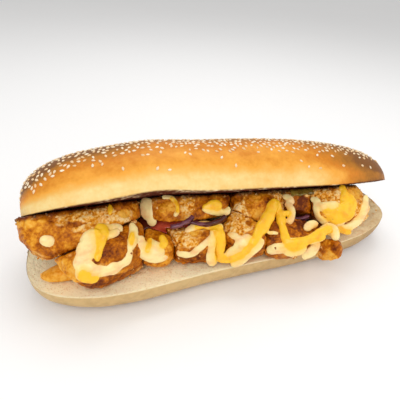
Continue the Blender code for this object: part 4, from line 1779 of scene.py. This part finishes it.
@dataclass
class Studio:
    """A pale floor, soft light and a camera at the photograph's viewing angle."""

    azimuth: float = math.radians(-19.66)
    elevation: float = math.radians(34.59)
    tilt: float = math.radians(4.27)
    distance: float = 302.06 * MM
    target: Vector = field(default_factory=lambda: Vector((0, 0, 40)) * MM)
    image_width: float = 400
    zoom: float = 1.2167  # pixels for each millimetre at the target
    centre: tuple[float, float] = (223.79, 208.05)  # the pixel at which the target is seen
    sensor: float = 36
    nearest: float = 10 * MM
    floor_size: float = 6.0
    floor_patch: float = 0.4
    glow: float = 0.6
    lamps: tuple[Lamp, ...] = (
        Lamp("key", (-0.35, -0.75, 0.85), 0.7, 4.4),
        Lamp("fill", (0.75, -0.5, 0.55), 0.8, 1.6),
        Lamp("top", (0.1, 0.35, 0.9), 0.6, 2.6),
    )

    def build(self) -> None:
        """Makes the floor, the lights and the camera."""
        self.lay_floor()
        self.hang_lamps()
        self.set_up_camera()

    def lay_floor(self) -> None:
        """Lays the floor."""
        bpy.ops.object.select_all(action="DESELECT")
        bpy.ops.mesh.primitive_plane_add(size=self.floor_size)
        floor = named("floor")
        recipe = Recipe("pale_floor", 0.9, Specular_IOR_Level=0.1)
        recipe.colour(recipe.ramp(recipe.grain(self.floor_patch), (0.0, "FBFAF9"), (1.0, "FEFDFC")))
        floor.data.materials.append(recipe.material)

    def hang_lamps(self) -> None:
        """Lights the world and hangs the soft lights."""
        world = bpy.data.worlds.new("studio")
        bpy.context.scene.world = world
        world.use_nodes = True
        back = world.node_tree.nodes["Background"]
        back.inputs["Color"].default_value = (1, 1, 1, 1)
        back.inputs["Strength"].default_value = self.glow
        for lamp in self.lamps:
            light = added(lamp.name, bpy.data.lights.new(lamp.name, "AREA"))
            light.data.size = lamp.size
            light.data.energy = lamp.power
            light.location = lamp.spot
            light.rotation_euler = (self.target - Vector(lamp.spot)).to_track_quat("-Z", "Y").to_euler()

    def set_up_camera(self) -> None:
        """Sets up the camera."""
        azimuth, elevation = self.azimuth, self.elevation
        away = Vector((math.sin(azimuth), -math.cos(azimuth), 0))
        back = away * math.cos(elevation) + Vector((0, 0, math.sin(elevation)))
        level = Vector((math.cos(azimuth), math.sin(azimuth), 0))
        upright = back.cross(level)
        right = level * math.cos(self.tilt) + upright * math.sin(self.tilt)
        up = upright * math.cos(self.tilt) - level * math.sin(self.tilt)
        spot = self.target + back * self.distance
        camera = added("camera", bpy.data.cameras.new("camera"))
        rows = [(*row, spot[i]) for i, row in enumerate(zip(right, up, back))]
        camera.matrix_world = Matrix([*rows, (0, 0, 0, 1)])
        middle = self.image_width / 2
        camera.data.sensor_width = self.sensor
        camera.data.lens = self.distance / MM * self.zoom / self.image_width * self.sensor
        camera.data.shift_x = (middle - self.centre[0]) / self.image_width
        camera.data.shift_y = (self.centre[1] - middle) / self.image_width
        camera.data.clip_start = self.nearest
        bpy.context.scene.camera = camera
        bpy.context.scene.view_settings.view_transform = "Standard"


# The whole


@dataclass
class Sandwich:
    """The whole sandwich."""

    frame: dict
    roll: Roll = field(default_factory=Roll)
    drizzle: Drizzle = field(default_factory=Drizzle)
    fried: tuple[Fried, ...] = (
        Fried("tender_upper_left", Coat.SAUCED),
        Fried("tender_upper_middle", Coat.GOLDEN),
        Fried("tender_upper_centre", Coat.CRUMBLY),
        Fried("tender_upper_dark", Coat.DARK),
        Fried("tender_upper_right", Coat.CRUMBLY),
        Fried("tender_lower_left", Coat.SAUCED),
        Fried("tender_tip_left", Coat.GLAZED),
        Fried("chicken_chunk_middle", Coat.GLAZED),
        Fried("tender_lower_middle", Coat.CRUMBLY),
        Fried("tender_lower_centre", Coat.GOLDEN),
        Fried("tender_lower_right", Coat.SAUCED),
        Fried("chicken_tip_right", Coat.GOLDEN),
    )
    vegetables: tuple[Vegetable, ...] = (
        Vegetable("tomato_slice", "tomato", (-49, -20, 45), (20, -13, 0), 24 * MM, 3 * MM),
        Vegetable("onion_slice_1", "red_onion", (-23, -34, 51), (20, -4, -6), 22 * MM, 2 * MM),
        Vegetable("onion_slice_2", "red_onion", (-41, -33, 55), (24, -14, 10), 22 * MM, 2 * MM),
        Vegetable("onion_slice_3", "red_onion", (48, -35, 45), (16, 0, -8), 22 * MM, 2 * MM),
        Vegetable("lettuce_strip", "lettuce", (55, -21, 65), (33, 0, 0), 60 * MM, 20 * MM),
    )
    vegetable_finishes: tuple[VegetableFinish, ...] = (
        VegetableFinish("tomato", "AA3620", "CC583C", "8E1E10", 5 * MM),
        VegetableFinish("red_onion", "7A4452", "54202C", "380E18", 3 * MM),
        VegetableFinish("lettuce", "8A7228", "6E5216", "5E5A18", 4 * MM),
    )

    def filling(self) -> BVHTree:
        """Joins the surfaces of all fried solids.

        Returns:
            A search tree, for casting sauce and for staining the bread.
        """
        verts: list[Vector] = []
        faces: list[list[int]] = []
        for piece in self.fried:
            mesh = self.frame["nodes"][piece.node].data
            start = len(verts)
            verts += [v.co.copy() for v in mesh.vertices]
            faces += [[start + i for i in p.vertices] for p in mesh.polygons]
        return BVHTree.FromPolygons(verts, faces)

    def build(self) -> None:
        """Makes every piece."""
        filling = self.filling()
        roll = self.roll.build(filling, BreadFinish())
        Seeds().build(self.roll, SeedFinish())
        self.drizzle.lay(filling)
        breading = FriedFinish().build()
        pieces = [piece.build(self.frame, self.drizzle, self.roll, breading) for piece in self.fried]
        Crumbs().build(pieces, roll, breading)
        self.drizzle.build(SauceFinish())
        materials = {finish.name: finish.build() for finish in self.vegetable_finishes}
        for vegetable in self.vegetables:
            vegetable.build(self.frame, self.drizzle, materials[vegetable.slot])


def main() -> None:
    """Builds the sandwich and its studio."""
    logging.basicConfig(level=logging.INFO, format="%(message)s")
    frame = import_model()
    Studio().build()
    Sandwich(frame).build()


if __name__ == "__main__":
    main()
